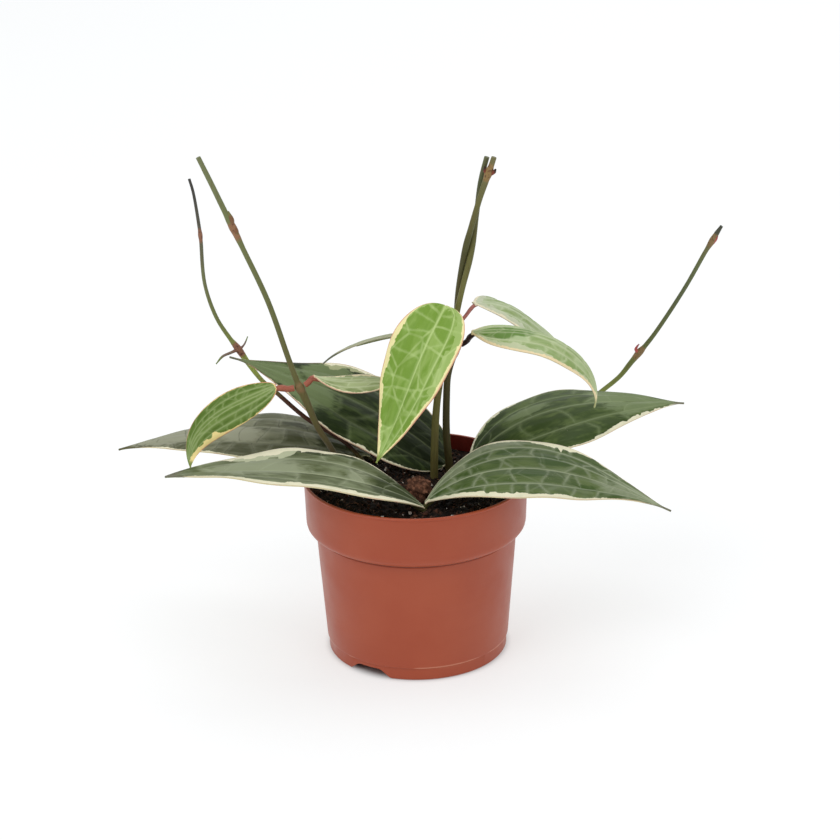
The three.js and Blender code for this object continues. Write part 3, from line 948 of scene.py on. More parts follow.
@dataclass
class Pot:
    """The nursery pot: tapered body, wide top band, foot ring with two drain arches, floor with holes.

    Lengths are millimetres and angles degrees. The arches and the holes are cut through the wall.
    """

    rim_radius: float = 60.0
    height: float = 99.0
    wall: float = 1.3
    crease_radius: float = 54.0
    crease_height: float = 69.4
    band_bottom: float = 75.5
    body_foot: float = 49.2
    foot_radius: float = 48.3
    ledge: float = 7.3
    floor: float = 5.4
    segments: int = 168
    rounding: float = 0.22
    arch_angles: tuple[float, float] = (-123.0, 57.0)
    arch_height: float = 5.0
    arch_foot_width: float = 26.8
    arch_top_width: float = 14.0
    arch_corner: float = 1.6
    hole_count: int = 6
    hole_radius: float = 4.0
    hole_ring: float = 33.0
    finish: PlasticFinish = field(default_factory=PlasticFinish)

    def profile(self) -> Profile:
        """Draws the wall's section, stretch by stretch.

        Returns:
            (radius, height) points from the axis under the floor round to the axis above it.
        """
        rim, crease, body, foot = self.rim_radius, self.crease_radius, self.body_foot, self.foot_radius
        top, bend, ledge, band = self.height, self.crease_height, self.ledge, self.band_bottom
        inner, floor_top, middle = rim - self.wall, self.floor + self.wall, 20.0
        underside = ((0.0, self.floor), (middle, self.floor), (foot - 4.2, self.floor), (foot - 3.9, 3.0))
        foot_ring = ((foot - 3.6, 0.3), (foot - 3.3, 0.0), (foot - 1.2, 0.0), (foot - 0.5, 0.3),
                     (foot - 0.05, 0.9), (foot, 1.6))
        step = ((foot, ledge - 0.1), (foot + 0.15, ledge + 0.03), (body - 0.4, ledge + 0.07),
                (body - 0.12, ledge + 0.25), (body, ledge + 0.6), (body + 0.1, ledge + 1.6))
        side = ((body + 1.9, 32.0), (body + 3.4, 51.0))
        groove = ((crease - 0.1, bend - 1.2), (crease - 0.35, bend - 0.8), (crease - 0.35, bend - 0.4),
                  (crease + 0.15, bend - 0.1))
        shoulder = ((crease + 1.3, bend + 0.4), (crease + 2.9, bend + 1.3), (crease + 3.95, bend + 2.2),
                    (crease + 4.7, bend + 3.3), (crease + 5.0, bend + 4.6), (rim - 0.9, band))
        lip = ((rim - 0.5, 88.0), (rim - 0.12, top - 2.0), (rim - 0.2, top - 1.5),
               (rim + 0.12, top - 1.25), (rim + 0.3, top - 1.0), (rim + 0.3, top - 0.4),
               (rim + 0.1, top - 0.1), (rim - 0.2, top), (inner + 0.2, top), (inner, top - 0.25))
        inside = ((inner - 0.3, 90.0), (inner - 0.7, band), (crease + 2.8, bend + 3.6),
                  (crease - self.wall, bend + 0.6), (body - 0.3 - self.wall, floor_top + 1.6),
                  (foot - 2.7, floor_top), (middle, floor_top), (0.0, floor_top))
        return underside + foot_ring + step + side + groove + shoulder + lip + inside

    def _arch(self, angle: float) -> Piece:
        """Makes the body that cuts one drain arch.

        Args:
            angle: the arch's middle, in degrees from +X.

        Returns:
            A tapered block across the foot ring, in millimetres.
        """
        deselect()
        bpy.ops.mesh.primitive_cube_add(size=1, location=(0, 0, 0))
        block = bpy.context.object
        points = coordinates(block)
        upper, outer = points[:, 2] > 0, points[:, 0] > 0
        points[:, 0] = np.where(outer, self.foot_radius + 8, self.foot_radius - 12)
        points[:, 1] *= np.where(upper, self.arch_top_width, self.arch_foot_width)
        points[:, 2] = np.where(upper, self.arch_height, -0.2)
        move_vertices(block, points)
        edit(block)
        bpy.ops.mesh.select_all(action="DESELECT")
        leave_edit()
        for edge in block.data.edges:
            ends = [block.data.vertices[i].co for i in edge.vertices]
            edge.select = all(e.z > 4 for e in ends) and abs(ends[0].x - ends[1].x) > 1
        bpy.ops.object.mode_set(mode="EDIT")
        bpy.ops.mesh.select_mode(type="EDGE")
        bpy.ops.mesh.bevel(offset=self.arch_corner, segments=4)
        leave_edit()
        block.data.transform(Matrix.Rotation(math.radians(angle), 4, "Z"))
        return block

    def _hole(self, number: int) -> Piece:
        """Makes the body that cuts one drain hole.

        Args:
            number: which hole of the ring it is, from 0.

        Returns:
            A short cylinder through the floor, in millimetres.
        """
        deselect()
        bpy.ops.mesh.primitive_cylinder_add(vertices=28, radius=self.hole_radius, depth=6,
                                            location=(0, 0, 0))
        hole = bpy.context.object
        angle = math.radians((number + 0.5) * 360 / self.hole_count)
        spot = (self.hole_ring * math.cos(angle), self.hole_ring * math.sin(angle), 6)
        hole.data.transform(Matrix.Translation(spot))
        return hole

    def _inside(self, points: Array) -> Array:
        """Tells the pot's inner surface from its outer one.

        Args:
            points: an (n, 3) array in millimetres from the pot's axis.

        Returns:
            Whether each point lies within the middle of the wall, above the ledge.
        """
        rim, crease, bend = self.rim_radius, self.crease_radius, self.crease_height
        heights = (8.0, bend, bend + 0.6, bend + 3.6, self.band_bottom, self.height)
        middles = (self.foot_radius, crease - 0.7, crease - 0.3, crease + 3.7, rim - 1.5, rim - 1.1)
        radius = np.hypot(points[:, 0], points[:, 1])
        return (radius < np.interp(points[:, 2], heights, middles)) & (points[:, 2] > self.ledge + 0.7)

    def build(self) -> Piece:
        """Spins the wall, cuts the arches and holes, rounds the edges and dresses it.

        Returns:
            The finished pot.
        """
        piece = turned("nursery_pot", self.profile(), self.segments)
        cutters = [self._arch(angle) for angle in self.arch_angles]
        cutters += [self._hole(number) for number in range(self.hole_count)]
        for cutter in cutters:
            apply_modifier(piece, "BOOLEAN", operation="DIFFERENCE", solver="EXACT", object=cutter)
            bpy.data.objects.remove(cutter)
        apply_modifier(piece, "BEVEL", width=self.rounding, segments=2, limit_method="ANGLE",
                       angle_limit=math.radians(48))
        points = coordinates(piece)
        level, inner = points[:, 2], self._inside(points)
        # where the painted shade inside and in the crease, and the painted highlight on the ledge, are laid
        store(piece, "inner", inner.astype(float))
        store(piece, "crease", np.exp(-((level - self.crease_height + 0.4) / 0.5) ** 2) * ~inner)
        store(piece, "ledge", np.exp(-((level - self.ledge - 0.3) / 0.4) ** 2) * ~inner)
        move_vertices(piece, to_frame(points))
        pick(piece)
        bpy.ops.object.shade_smooth_by_angle(angle=math.radians(32))
        dress(piece, "pot", [self.finish.material()])
        return piece


@dataclass
class Soil:
    """The peat that fills the pot, with a plug, loose crumbs, fibres and perlite on it.

    The block's side is (radius, height) points inside the pot's wall, and its edge is its top radius.
    """

    top: float = 91.4
    bottom: float = 7.0
    edge: float = 58.1
    side: Profile = ((45.0, 7.0), (47.0, 9.1), (52.2, 70.2), (54.6, 72.2), (57.5, 75.6))
    seed: int = 7
    crumb_count: int = 1750
    crumb_reach: float = 57.4
    fibre_count: int = 190
    fibre_reach: float = 55.0
    plug: tuple[float, float] = (1.5, -18.0)
    plug_size: Point = (6.6, 6.2, 7.0)

    def level(self, x: Array, y: Array) -> Array:
        """Finds the soil's surface: wavy, flat under the plug, lower near the wall, and rough.

        Args:
            x: millimetres from the pot's axis.
            y: millimetres from the pot's axis.

        Returns:
            The height at each place, in millimetres.
        """
        waves = 0.8 * np.sin(0.52 * x + 1.4 * np.sin(0.31 * y)) * np.cos(0.47 * y - 0.6)
        waves = waves + 0.4 * np.sin(1.1 * x + 0.9 * y)
        clear = eased((np.hypot(x - self.plug[0], y - self.plug[1]) - 9) / 7)
        smooth = self.top + waves * clear - 0.9 * eased((np.hypot(x, y) - 40) / 18)
        draw = np.random.default_rng(self.seed)
        rough = np.zeros_like(x)
        for scale, size in ((0.9, 0.30), (1.5, 0.24), (2.4, 0.18)):
            for _ in range(5):
                turn, phase = draw.uniform(0, math.pi), draw.uniform(0, 6.28)
                along = x * math.cos(turn) + y * math.sin(turn)
                across = y * math.cos(turn) - x * math.sin(turn)
                rough += size * np.sin(scale * along + phase + 1.2 * np.sin(0.6 * scale * across)) / 2
        return smooth + rough

    def bed(self) -> Piece:
        """Spins the block of soil and roughens its top.

        Returns:
            The finished block.
        """
        rings = tuple((float(r), self.top) for r in np.linspace(self.edge - 1.5, 0, 52))
        profile = ((0.0, self.bottom), *self.side, (self.edge, self.top - 1.0), (self.edge - 0.5, self.top))
        piece = turned("soil_bed", profile + rings, 190)
        points = coordinates(piece)
        on_top = points[:, 2] > self.top - 0.01
        points[:, 2] = np.where(on_top, self.level(points[:, 0], points[:, 1]), points[:, 2])
        move_vertices(piece, to_frame(points))
        pick(piece)
        bpy.ops.object.shade_smooth()
        dress(piece, "potting_soil", [SoilFinish().material()])
        return piece

    def _lumps(self, draw: np.random.Generator) -> tuple[Piece, Array]:
        """Copies one rough lump over the soil, each copy with its own size, turn and kind.

        Args:
            draw: the seeded draw.

        Returns:
            All lumps as one object, and the kind of each of its faces.
        """
        deselect()
        bpy.ops.mesh.primitive_uv_sphere_add(segments=7, ring_count=5, radius=1)
        piece = bpy.context.object
        piece.name = "soil_crumbs"
        shape = coordinates(piece)
        faces = [list(polygon.vertices) for polygon in piece.data.polygons]
        count = self.crumb_count
        radius = self.crumb_reach * np.sqrt(draw.random(count))
        around = draw.uniform(0, FULL_TURN, count)
        x, y = radius * np.cos(around), radius * np.sin(around)
        size = 0.35 + 1.15 * draw.random(count) ** 3.2
        choices = [Lump.DARK.value, Lump.BROWN.value, Lump.PERLITE.value]
        kinds = draw.choice(choices, count, p=[0.61, 0.31, 0.08])
        size = np.where(kinds == Lump.PERLITE.value, size * 0.75, size)
        z = self.level(x, y) + size * draw.uniform(0.0, 0.5, count)
        all_points, all_faces = [], []
        for i in range(count):
            wobble = 1 + 0.22 * np.sin(shape @ draw.normal(0, 2.2, (3, 3))).sum(1) / 1.7
            stretch = draw.uniform(0.65, 1.25, 3)
            turn = np.linalg.qr(draw.normal(0, 1, (3, 3)))[0]
            turn = turn if np.linalg.det(turn) > 0 else -turn
            body = (shape * wobble[:, None] * stretch * size[i]) @ turn.T
            all_points.append(body + (x[i], y[i], z[i]))
            all_faces += [[corner + i * len(shape) for corner in face] for face in faces]
        mesh = bpy.data.meshes.new("soil_crumbs")
        mesh.from_pydata(to_frame(np.vstack(all_points)).tolist(), [], all_faces)
        piece.data = mesh
        return piece, np.repeat(kinds, len(faces))

    def _fibre(self, draw: np.random.Generator) -> Piece:
        """Makes one fibre that lies on the soil.

        Args:
            draw: the seeded draw.

        Returns:
            A thin bent stick.
        """
        radius, around = self.fibre_reach * math.sqrt(draw.random()), draw.uniform(0, FULL_TURN)
        x, y = radius * math.cos(around), radius * math.sin(around)
        heading, length = draw.uniform(0, FULL_TURN), draw.uniform(2.5, 8.0)
        knots = []
        for _ in range(4):
            x += math.cos(heading) * length / 3
            y += math.sin(heading) * length / 3
            heading += draw.normal(0, 0.5)
            shrink = min(1.0, (self.fibre_reach + 1.5) / max(math.hypot(x, y), 1e-6))
            x, y = x * shrink, y * shrink
            ground = float(self.level(np.array([x]), np.array([y]))[0])
            knots.append((x, y, ground + draw.uniform(0.1, 0.9), draw.uniform(0.12, 0.26)))
        return stalk("fibre", knots, 2, 0)

    def crumbs(self) -> Piece:
        """Strews lumps of peat and perlite and short fibres over the soil.

        Returns:
            The loose bits, joined.
        """
        draw = np.random.default_rng(self.seed + 1)
        lumps, kinds = self._lumps(draw)
        fibres = [self._fibre(draw) for _ in range(self.fibre_count)]
        materials = [SoilFinish("peat_crumb", (24, 16, 12), (58, 38, 28)).material(),
                     SoilFinish("brown_crumb", (54, 32, 23), (108, 70, 52)).material(),
                     PERLITE.material(), FIBRE.material()]
        for one in (lumps, *fibres):
            add_materials(one, materials)
        lumps.data.polygons.foreach_set("material_index", kinds)
        for fibre in fibres:
            paint_all(fibre, Lump.FIBRE.value)
        piece = joined([lumps, *fibres])
        pick(piece)
        bpy.ops.object.shade_smooth_by_angle(angle=math.radians(50))
        dress(piece, None, materials)
        return piece

    def peat_plug(self) -> Piece:
        """Makes the brown lump of peat that lies between the front leaves.

        Returns:
            The finished lump.
        """
        deselect()
        bpy.ops.mesh.primitive_ico_sphere_add(subdivisions=6, radius=1)
        piece = bpy.context.object
        piece.name = "peat_lump"
        ball = coordinates(piece)
        x, y, z = ball.T
        body = 1 + 0.07 * np.sin(6 * x + 2) * np.cos(5 * y) + 0.05 * np.sin(9 * z + 4 * x)
        draw = np.random.default_rng(self.seed + 2)
        for scale, size in ((8, 0.034), (15, 0.026), (30, 0.016)):
            for _ in range(5):
                way = draw.normal(0, 1, 3)
                way = way / np.linalg.norm(way) * scale
                body += size * np.sin(ball @ way + draw.uniform(0, 6.28))
        shape = ball * body[:, None] * np.array(self.plug_size) * 0.985
        centre = self.top + 0.3 + self.plug_size[2] - 1
        points = shape + (*self.plug, centre)
        points[:, 2] = np.maximum(points[:, 2], self.top - 0.4)
        move_vertices(piece, to_frame(points))
        pick(piece)
        bpy.ops.object.shade_smooth()
        finish = SoilFinish("brown_peat", (82, 52, 38), (146, 100, 78), (214, 172, 146), 0.9)
        dress(piece, "peat_plug", [finish.material()])
        return piece


# Stems


@dataclass
class Stem:
    """One climbing stem: its route from the soil up, its spurs with buds, and its brown nodes.

    Routes and spurs are (x, y, z, radius) knots and a node is (x, y, z, reach, strength), in millimetres
    from the pot's axis.
    """

    name: str
    slot: str
    finish: StemFinish
    route: list[Knot]
    spurs: list[list[Knot]] = field(default_factory=list)
    nodes: list[tuple[float, ...]] = field(default_factory=list)

    def build(self) -> Piece:
        """Draws the stem and its spurs, and stores what its material reads.

        Returns:
            The finished stem.
        """
        parts = [stalk(self.name.replace("stem_", "vine_"), self.route, 8, 5)]
        store(parts[0], "spur", np.zeros(len(parts[0].data.vertices)))
        for spur in self.spurs:
            part = stalk("spur", spur, 6, 3)
            reach = np.linalg.norm(coordinates(part) - to_frame(np.array([spur[0][:3]])), axis=1)
            store(part, "spur", reach / max(reach.max(), 1e-6))
            parts.append(part)
        piece = joined(parts)
        here = (coordinates(piece) - np.array(pot_axis())) / MM
        ring = np.zeros(len(here))
        for *place, reach, strength in self.nodes:
            away = np.linalg.norm(here - np.array(place), axis=1)
            ring = np.maximum(ring, strength * np.clip(1.7 - away / reach, 0, 1))
        store(piece, "node", ring)
        store(piece, "height", here[:, 2])
        dress(piece, self.name, [self.finish.material()])
        return piece


# The olive-brown darkening to near black from 132 mm down to the soil is painted shade at the stem's foot.
LEFT_SKIN = StemFinish(
    "left_stem_skin",
    ((90, (22, 18, 12)), (104, (34, 30, 20)), (118, (64, 58, 36)), (132, (94, 86, 52)),
     (150, (106, 100, 58)), (200, (106, 110, 66)), (246, (116, 122, 78)), (280, (118, 124, 86))),
    node=(150, 110, 80), scar=(96, 62, 46), spur=(128, 88, 62), bud=(120, 118, 72))
# The dark red-brown stops from 111 to 139 mm are the stem's own red-brown, darkened by painted shade where
# it runs under the back left leaf's margin.
BACK_LEFT_SKIN = StemFinish(
    "back_left_stem_skin",
    ((90, (112, 106, 58)), (106, (106, 98, 54)), (111, (66, 40, 30)), (139, (88, 50, 36)),
     (145, (150, 164, 76)), (153, (144, 156, 76)), (172, (120, 128, 74)), (205, (116, 120, 84)),
     (225, (96, 94, 80)), (250, (68, 66, 62))),
    node=(150, 106, 84), scar=(92, 62, 52), spur=(128, 104, 98), bud=(122, 138, 76))
CENTRE_FRONT_SKIN = StemFinish(
    "centre_front_stem_skin",
    ((90, (108, 98, 56)), (130, (118, 114, 64)), (165, (112, 106, 58)), (195, (116, 114, 62)),
     (235, (98, 96, 54)), (262, (86, 92, 60)), (280, (104, 106, 72))),
    node=(130, 104, 62), scar=(92, 72, 44))
CENTRE_BACK_SKIN = StemFinish(
    "centre_back_stem_skin",
    ((90, (86, 78, 46)), (140, (80, 76, 44)), (180, (96, 90, 52)), (225, (76, 76, 42)),
     (250, (104, 102, 58)), (270, (116, 112, 74))),
    node=(146, 118, 74), scar=(104, 74, 48), spur=(128, 56, 42), bud=(52, 36, 28))
RIGHT_SKIN = StemFinish(
    "right_stem_skin",
    ((90, (106, 102, 58)), (104, (128, 138, 70)), (125, (122, 132, 66)), (150, (98, 106, 60)),
     (180, (90, 98, 66)), (200, (100, 108, 70)), (209, (110, 108, 70)), (214, (72, 74, 60))),
    node=(136, 112, 76), scar=(104, 82, 56), spur=(186, 84, 84), bud=(150, 70, 74))

FOOT = 62.0
STEMS = [
    Stem(
        name="stem_left", slot="olive_stem", finish=LEFT_SKIN,
        route=[(-38, 0, FOOT, 1.6), (-38, 0, 88, 1.6), (-38, 0, 94, 1.6), (-43, 0, 111, 1.6),
               (-51.5, 0, 126.5, 1.7), (-58.5, 0, 145, 2.1), (-60.5, 0, 149.5, 2.6), (-62, 0, 153.5, 1.6),
               (-65.7, 0, 165, 1.5), (-75.7, 0, 198, 1.45), (-87.6, 0, 227, 1.4), (-90.5, 0, 234, 1.7),
               (-92.4, 0, 238.5, 2.1), (-94, 0, 242, 1.8), (-96.2, 0, 247.2, 1.5), (-102.8, 0, 262.8, 1.4),
               (-108.8, 0, 276.6, 1.3)],
        spurs=[[(-92.9, -0.2, 240, 1.4), (-93.1, -0.4, 243, 1.5), (-94.8, -0.2, 247.4, 0.8)],
               [(-92.3, -0.2, 239.4, 1.4), (-91.2, -0.5, 237.2, 1.6), (-90.4, -0.2, 234, 1.1)]],
        nodes=[(-60.5, 0, 149.5, 4, 0.45), (-91.6, 0, 237, 4.5, 1)]),
    Stem(
        name="stem_back_left", slot="lime_stem", finish=BACK_LEFT_SKIN,
        route=[(-27, 24, FOOT, 1.2), (-27, 24, 90, 1.2), (-27.2, 24, 94, 1.2), (-37.6, 27, 106.4, 1.2),
               (-59.1, 32, 119.4, 1.2), (-74.8, 40, 131, 1.2), (-83.5, 48, 135.8, 1.25),
               (-90.9, 55, 143.3, 1.5), (-95.9, 56, 150.9, 2), (-100.5, 55, 158, 1.2),
               (-107.1, 54, 170.3, 1.1), (-112.5, 53, 190, 1), (-113.5, 53, 214, 1),
               (-113.7, 53, 217.5, 1.25), (-114, 53, 221, 0.95), (-116.5, 53, 241.6, 0.8),
               (-118.3, 53, 249, 0.75)],
        spurs=[[(-95.5, 55.5, 151.2, 1.1), (-99.8, 53, 150, 0.8), (-104.3, 51, 148.6, 0.7),
                (-108, 50, 144.6, 0.35)],
               [(-95.5, 55.5, 150.5, 0.9), (-92.5, 55, 154, 0.5), (-90.5, 55, 158.5, 0.3)]],
        nodes=[(-95.9, 56, 150.9, 4, 1), (-113.7, 53, 217.5, 3.5, 0.8)]),
    Stem(
        name="stem_centre_front", slot="olive_stem", finish=CENTRE_FRONT_SKIN,
        route=[(10, 12.5, FOOT, 2.1), (10, 12.5, 88, 2.1), (10, 12.5, 95, 2.1), (11, 11, 124, 2),
               (12.6, 10.5, 141, 1.9), (16, 11, 160, 1.8), (19.2, 11.5, 171, 1.8),
               (20.8, 11.9, 176.5, 1.9), (21.8, 12, 180, 2.3), (22.6, 11.6, 184, 1.7),
               (23.4, 11.3, 188.4, 1.6), (26.1, 11.6, 200, 1.5), (30.1, 13.7, 215.2, 1.65),
               (31.5, 15.6, 222.6, 1.75), (33.8, 17.9, 238.3, 1.4), (35.7, 18.2, 253.7, 1.4),
               (37.3, 18, 261.5, 1.4), (39.4, 18, 269.3, 1.4)],
        nodes=[(21.8, 12, 180, 4, 0.8)]),
    Stem(
        name="stem_centre_back", slot="dark_stem", finish=CENTRE_BACK_SKIN,
        route=[(18.2, 19, FOOT, 2.1), (18.2, 19, 88, 2.1), (18.2, 19, 95, 2.1), (16.9, 17.8, 114, 2),
               (17.1, 16.8, 135, 1.9), (18, 16.2, 149, 1.8), (20.4, 16.6, 158, 1.8), (22.2, 17.1, 162, 2),
               (22.9, 17.3, 165.2, 2.5), (23.5, 17.4, 169, 1.8), (24.1, 17.2, 176, 1.6),
               (23.1, 16.6, 183, 1.5), (23.7, 15.7, 195, 1.5), (26.1, 15.1, 211, 1.65),
               (28.3, 13.4, 223, 1.75), (31, 12.8, 233, 1.6), (35.2, 13.5, 247.4, 1.5),
               (38.6, 13.8, 257.6, 1.7), (40.3, 13.8, 262.4, 2.2), (41.6, 14, 266, 1.5),
               (43, 14, 270.3, 1.4)],
        spurs=[[(40.4, 13.6, 261.5, 1.5), (42.8, 13, 262.6, 1.1), (43.8, 12.8, 264.2, 0.5)],
               [(40.2, 13.8, 261, 1.6), (38.4, 13.7, 263, 1.1), (38.2, 13.6, 265.4, 0.5)]],
        nodes=[(22.9, 17.3, 165.2, 3.5, 0.6), (39.8, 13.4, 262.4, 4, 1)]),
    Stem(
        name="stem_right", slot="lime_stem", finish=RIGHT_SKIN,
        route=[(33, 35, FOOT, 1.3), (33, 35, 90, 1.3), (33.2, 35, 94, 1.3), (44, 39, 102.6, 1.3),
               (58, 44, 104.5, 1.3), (80, 56, 108, 1.3), (94.5, 67, 111.3, 1.3), (105, 74, 116.8, 1.3),
               (114, 75.5, 124, 1.3), (120.3, 75, 132.5, 1.5), (124.9, 74, 139, 2),
               (128, 72.5, 143.5, 1.3), (133.4, 70.5, 152, 1.2), (148.8, 69, 178.2, 1.15),
               (159.6, 69, 199, 1.2), (163.2, 69, 205.3, 1.8), (165, 69, 208.6, 1.4),
               (167.9, 69, 213.3, 0.9)],
        spurs=[[(124.4, 73.8, 138.8, 1.3), (122.8, 73.4, 140.8, 0.9), (123.4, 73.2, 142.6, 0.6),
                (124.5, 73.2, 144, 0.35)],
               [(163, 69, 204, 1.4), (164.6, 68.6, 205.8, 1.1), (165.6, 68.6, 208, 0.7)]],
        nodes=[(124.9, 74, 139, 4, 1), (163.2, 69, 205.3, 3.5, 0.9)]),
]


# Leaves


@dataclass(frozen=True)
class Marks:
    """Where a leaf's colours lie: bands at its margins, patches, and its net of nerves.

    A band is (place along the leaf, width in millimetres) pairs, and left is on the +v side. A patch is
    (along, across, half length, half width, strength). Laterals are the long nerves beside the midrib,
    as places across, and rung_gap is the millimetres from one cross nerve to the next. Jag is how far
    the bands' inner edges step in and out, as a share of their width.
    """

    cream_left: Profile
    cream_right: Profile
    sage_left: Profile = ((0.0, 0.0), (1.0, 0.0))
    sage_right: Profile = ((0.0, 0.0), (1.0, 0.0))
    patches: tuple[tuple[float, float, float, float, float], ...] = ()
    laterals: tuple[float, ...] = (-0.55, 0.55)
    rung_gap: float = 14.0
    nerve_width: float = 0.55
    jag: float = 0.35
    seed: int = 1


@dataclass
class Leaf:
    """One leaf with its stalk, shaped by the same rule as the solid that it stands for.

    Heading, pitch and roll are the midrib's angles at the base, the middle and the tip. Broad is the
    place of the greatest width, and base_shape and tip_shape are the powers of the outline on either
    side of it. Left and right are each half's fold at the midrib and curl out to the margin. Wave is the
    margin's ripple: height, count and phase. Fineness is the mesh's spacing. QUILT is the blade's relief
    at the places ACROSS each half, and KEEL is (place along, radius) of the stalk under the midrib.
    Angles are in degrees and lengths in millimetres.
    """

    node: str
    slot: str
    finish: LeafFinish
    stalk_finish: BlotchedFinish
    base: Point
    heading: Triple
    pitch: Triple
    roll: Triple
    length: float
    width: float
    broad: float
    base_shape: float
    tip_shape: float
    left: tuple[float, float]
    right: tuple[float, float]
    wave: Triple
    thickness: float
    petiole: list[Knot]
    marks: Marks
    fineness: float = 0.63

    ACROSS = (0, 0.14, 0.28, 0.42, 0.55, 0.68, 0.8, 0.9, 1)
    QUILT = (-0.5, 0.02, 0.45, 0.1, -0.3, 0.08, 0.35, 0.22, 0)
    KEEL = ((0.015, 1.3), (0.05, 1.1), (0.1, 0.9), (0.2, 0.65), (0.4, 0.45), (0.65, 0.3))

    @staticmethod
    def _along(values: Triple, s: Array) -> Array:
        """Draws a quadratic through a quantity's three values.

        Args:
            values: at the base, the middle and the tip.
            s: 0 at the base to 1 at the tip.

        Returns:
            The quantity at each place.
        """
        a, b, c = values
        return a * (1 - s) * (1 - 2 * s) + 4 * b * s * (1 - s) + c * s * (2 * s - 1)

    def spine(self, s: Array) -> tuple[Array, Array, Array]:
        """The midrib with its side and face directions.

        Args:
            s: places along the leaf.

        Returns:
            Points, side directions and face directions, each (n, 3).
        """
        t = np.linspace(0, 1, 121)
        turns = (self.heading, self.pitch, self.roll)
        heading, pitch, roll = (np.radians(self._along(turn, t)) for turn in turns)
        level = np.cos(pitch)
        tangent = np.stack([level * np.cos(heading), level * np.sin(heading), np.sin(pitch)], 1)
        flat = np.stack([-np.sin(heading), np.cos(heading), 0 * heading], 1)
        upright = np.cross(tangent, flat)
        sine, cosine = np.sin(roll)[:, None], np.cos(roll)[:, None]
        side, face = flat * cosine + upright * sine, -flat * sine + upright * cosine
        steps = (tangent[1:] + tangent[:-1]) / 2 * self.length / (len(t) - 1)
        middle = np.vstack([np.zeros(3), np.cumsum(steps, axis=0)]) + np.array(self.base)
        lines = (middle, side, face)
        return tuple(np.stack([np.interp(s, t, line[:, i]) for i in range(3)], 1) for line in lines)

    def half_width(self, s: Array) -> Array:
        """Works out half the blade's width.

        Args:
            s: places along the leaf.

        Returns:
            Millimetres from the midrib to the margin.
        """
        on_base = s < self.broad
        t = np.where(on_base, (self.broad - s) / self.broad, (s - self.broad) / (1 - self.broad))
        power = np.where(on_base, self.base_shape, self.tip_shape)
        shape = np.maximum(np.cos(np.pi / 2 * t), 0) ** power
        return np.maximum(self.width / 2 * shape, np.where(on_base, 1.6, 0.35))

    def _rung(self, at: float, share: Array, gap: Array,
              draw: np.random.Generator) -> tuple[Array, Array]:
        """Draws one cross nerve between two long ones, slanted and bent.

        Args:
            at: where it starts, in millimetres along the leaf.
            share: places from one long nerve to the other, 0 to 1 between them.
            gap: the millimetres between the long nerves along the leaf, at 101 even places.
            draw: the leaf's seeded draw.

        Returns:
            Its place along the leaf at each share, and how much longer its slant makes it there.
        """
        slant = draw.uniform(-0.6, 0.6) * self.marks.rung_gap
        kink = draw.uniform(-0.14, 0.14) * self.marks.rung_gap
        bend = draw.uniform(0.3, 0.7)
        spots = np.array([0.0, bend / 2, bend, (1 + bend) / 2, 1.0])
        places = at + slant * spots + kink * np.sin(np.pi * spots) + draw.normal(0, 0.35, 5)
        places = np.clip(places, 1, self.length - 1)
        wide = max(np.interp(at / self.length, np.linspace(0, 1, len(gap)), gap), 1)
        slope = np.gradient(places, spots) / wide
        return np.interp(share, spots, places), np.interp(share, spots, np.sqrt(1 + slope ** 2))

    def _nets(self, s: Array, v: Array, w: Array) -> dict[str, Array]:
        """Works out the nerves and the cells between them.

        Args:
            s: places along the leaf.
            v: places across it, from -1 to 1.
            w: half widths there, in millimetres.

        Returns:
            The numbers nerve, net, tone and halo at each vertex.
        """
        draw = np.random.default_rng(self.marks.seed)
        along, across = s * self.length, v * w
        grid = np.linspace(0, 1, 101)
        wide = self.half_width(grid)
        nerve = np.full(len(s), FAR)
        paths = []
        for line in sorted((*self.marks.laterals, 0.0)):
            sway = 0.0 if line == 0 else 0.025 * np.sin(FULL_TURN * (1.3 * grid + draw.random()))
            path = (line + sway) * (1.0 - 0.12 * grid * (line != 0))
            thick = self.marks.nerve_width * (1.0 if line == 0 else 0.62)
            taper = np.interp(s, [0, 1], [1.25, 0.35])
            aside = np.abs(across - np.interp(s, grid, path * wide))
            nerve = np.minimum(nerve, aside - thick * taper)
            paths.append(path)
        bounds = [np.full(len(grid), -0.97), *paths, np.full(len(grid), 0.97)]
        net, tone = np.full(len(s), FAR), np.zeros(len(s))
        for left, right in zip(bounds, bounds[1:]):
            low, high = np.interp(s, grid, left), np.interp(s, grid, right)
            share = (v - low) / (high - low)
            inside = (share >= 0) & (share <= 1)
            at = self.marks.rung_gap * draw.uniform(0.3, 0.9)
            count = np.zeros(len(s), int)
            while at < self.length * 0.96:
                rung, tilt = self._rung(at, share, wide * (right - left), draw)
                count += (along > rung) & inside
                near = inside & (np.abs(along - rung) < 9)
                away = np.abs(along - rung) / tilt + draw.uniform(0.0, 0.25)
                net = np.where(near, np.minimum(net, away), net)
                at += self.marks.rung_gap * draw.uniform(0.65, 1.4)
            tints = draw.uniform(0, 1, count.max() + 2)
            tone = np.where(inside, tints[count], tone)
        halo = np.minimum(net, np.maximum(nerve, 0))
        return {"nerve": nerve, "net": net, "tone": tone, "halo": halo}

    def _band(self, profile: Profile, s: Array, seed: int) -> Array:
        """Gives a margin band its stepped inner edge.

        Args:
            profile: (along, width) pairs.
            s: places along the leaf.
            seed: for the draw of the steps.

        Returns:
            The band's width at each place, in millimetres.
        """
        draw = np.random.default_rng(seed)
        cuts = np.cumsum(draw.uniform(1.4, 6.5, 400))
        factors = 1 + self.marks.jag * draw.uniform(-1, 1, len(cuts))
        slopes = draw.uniform(0.15, 0.9, len(cuts))
        places = np.ravel(np.column_stack([cuts, cuts + slopes]))
        levels = np.ravel(np.column_stack([np.roll(factors, 1), factors]))
        steps = np.interp(s * self.length, places, levels)
        stations = np.array(profile)
        return np.interp(s, stations[:, 0], stations[:, 1]) * steps - 0.05

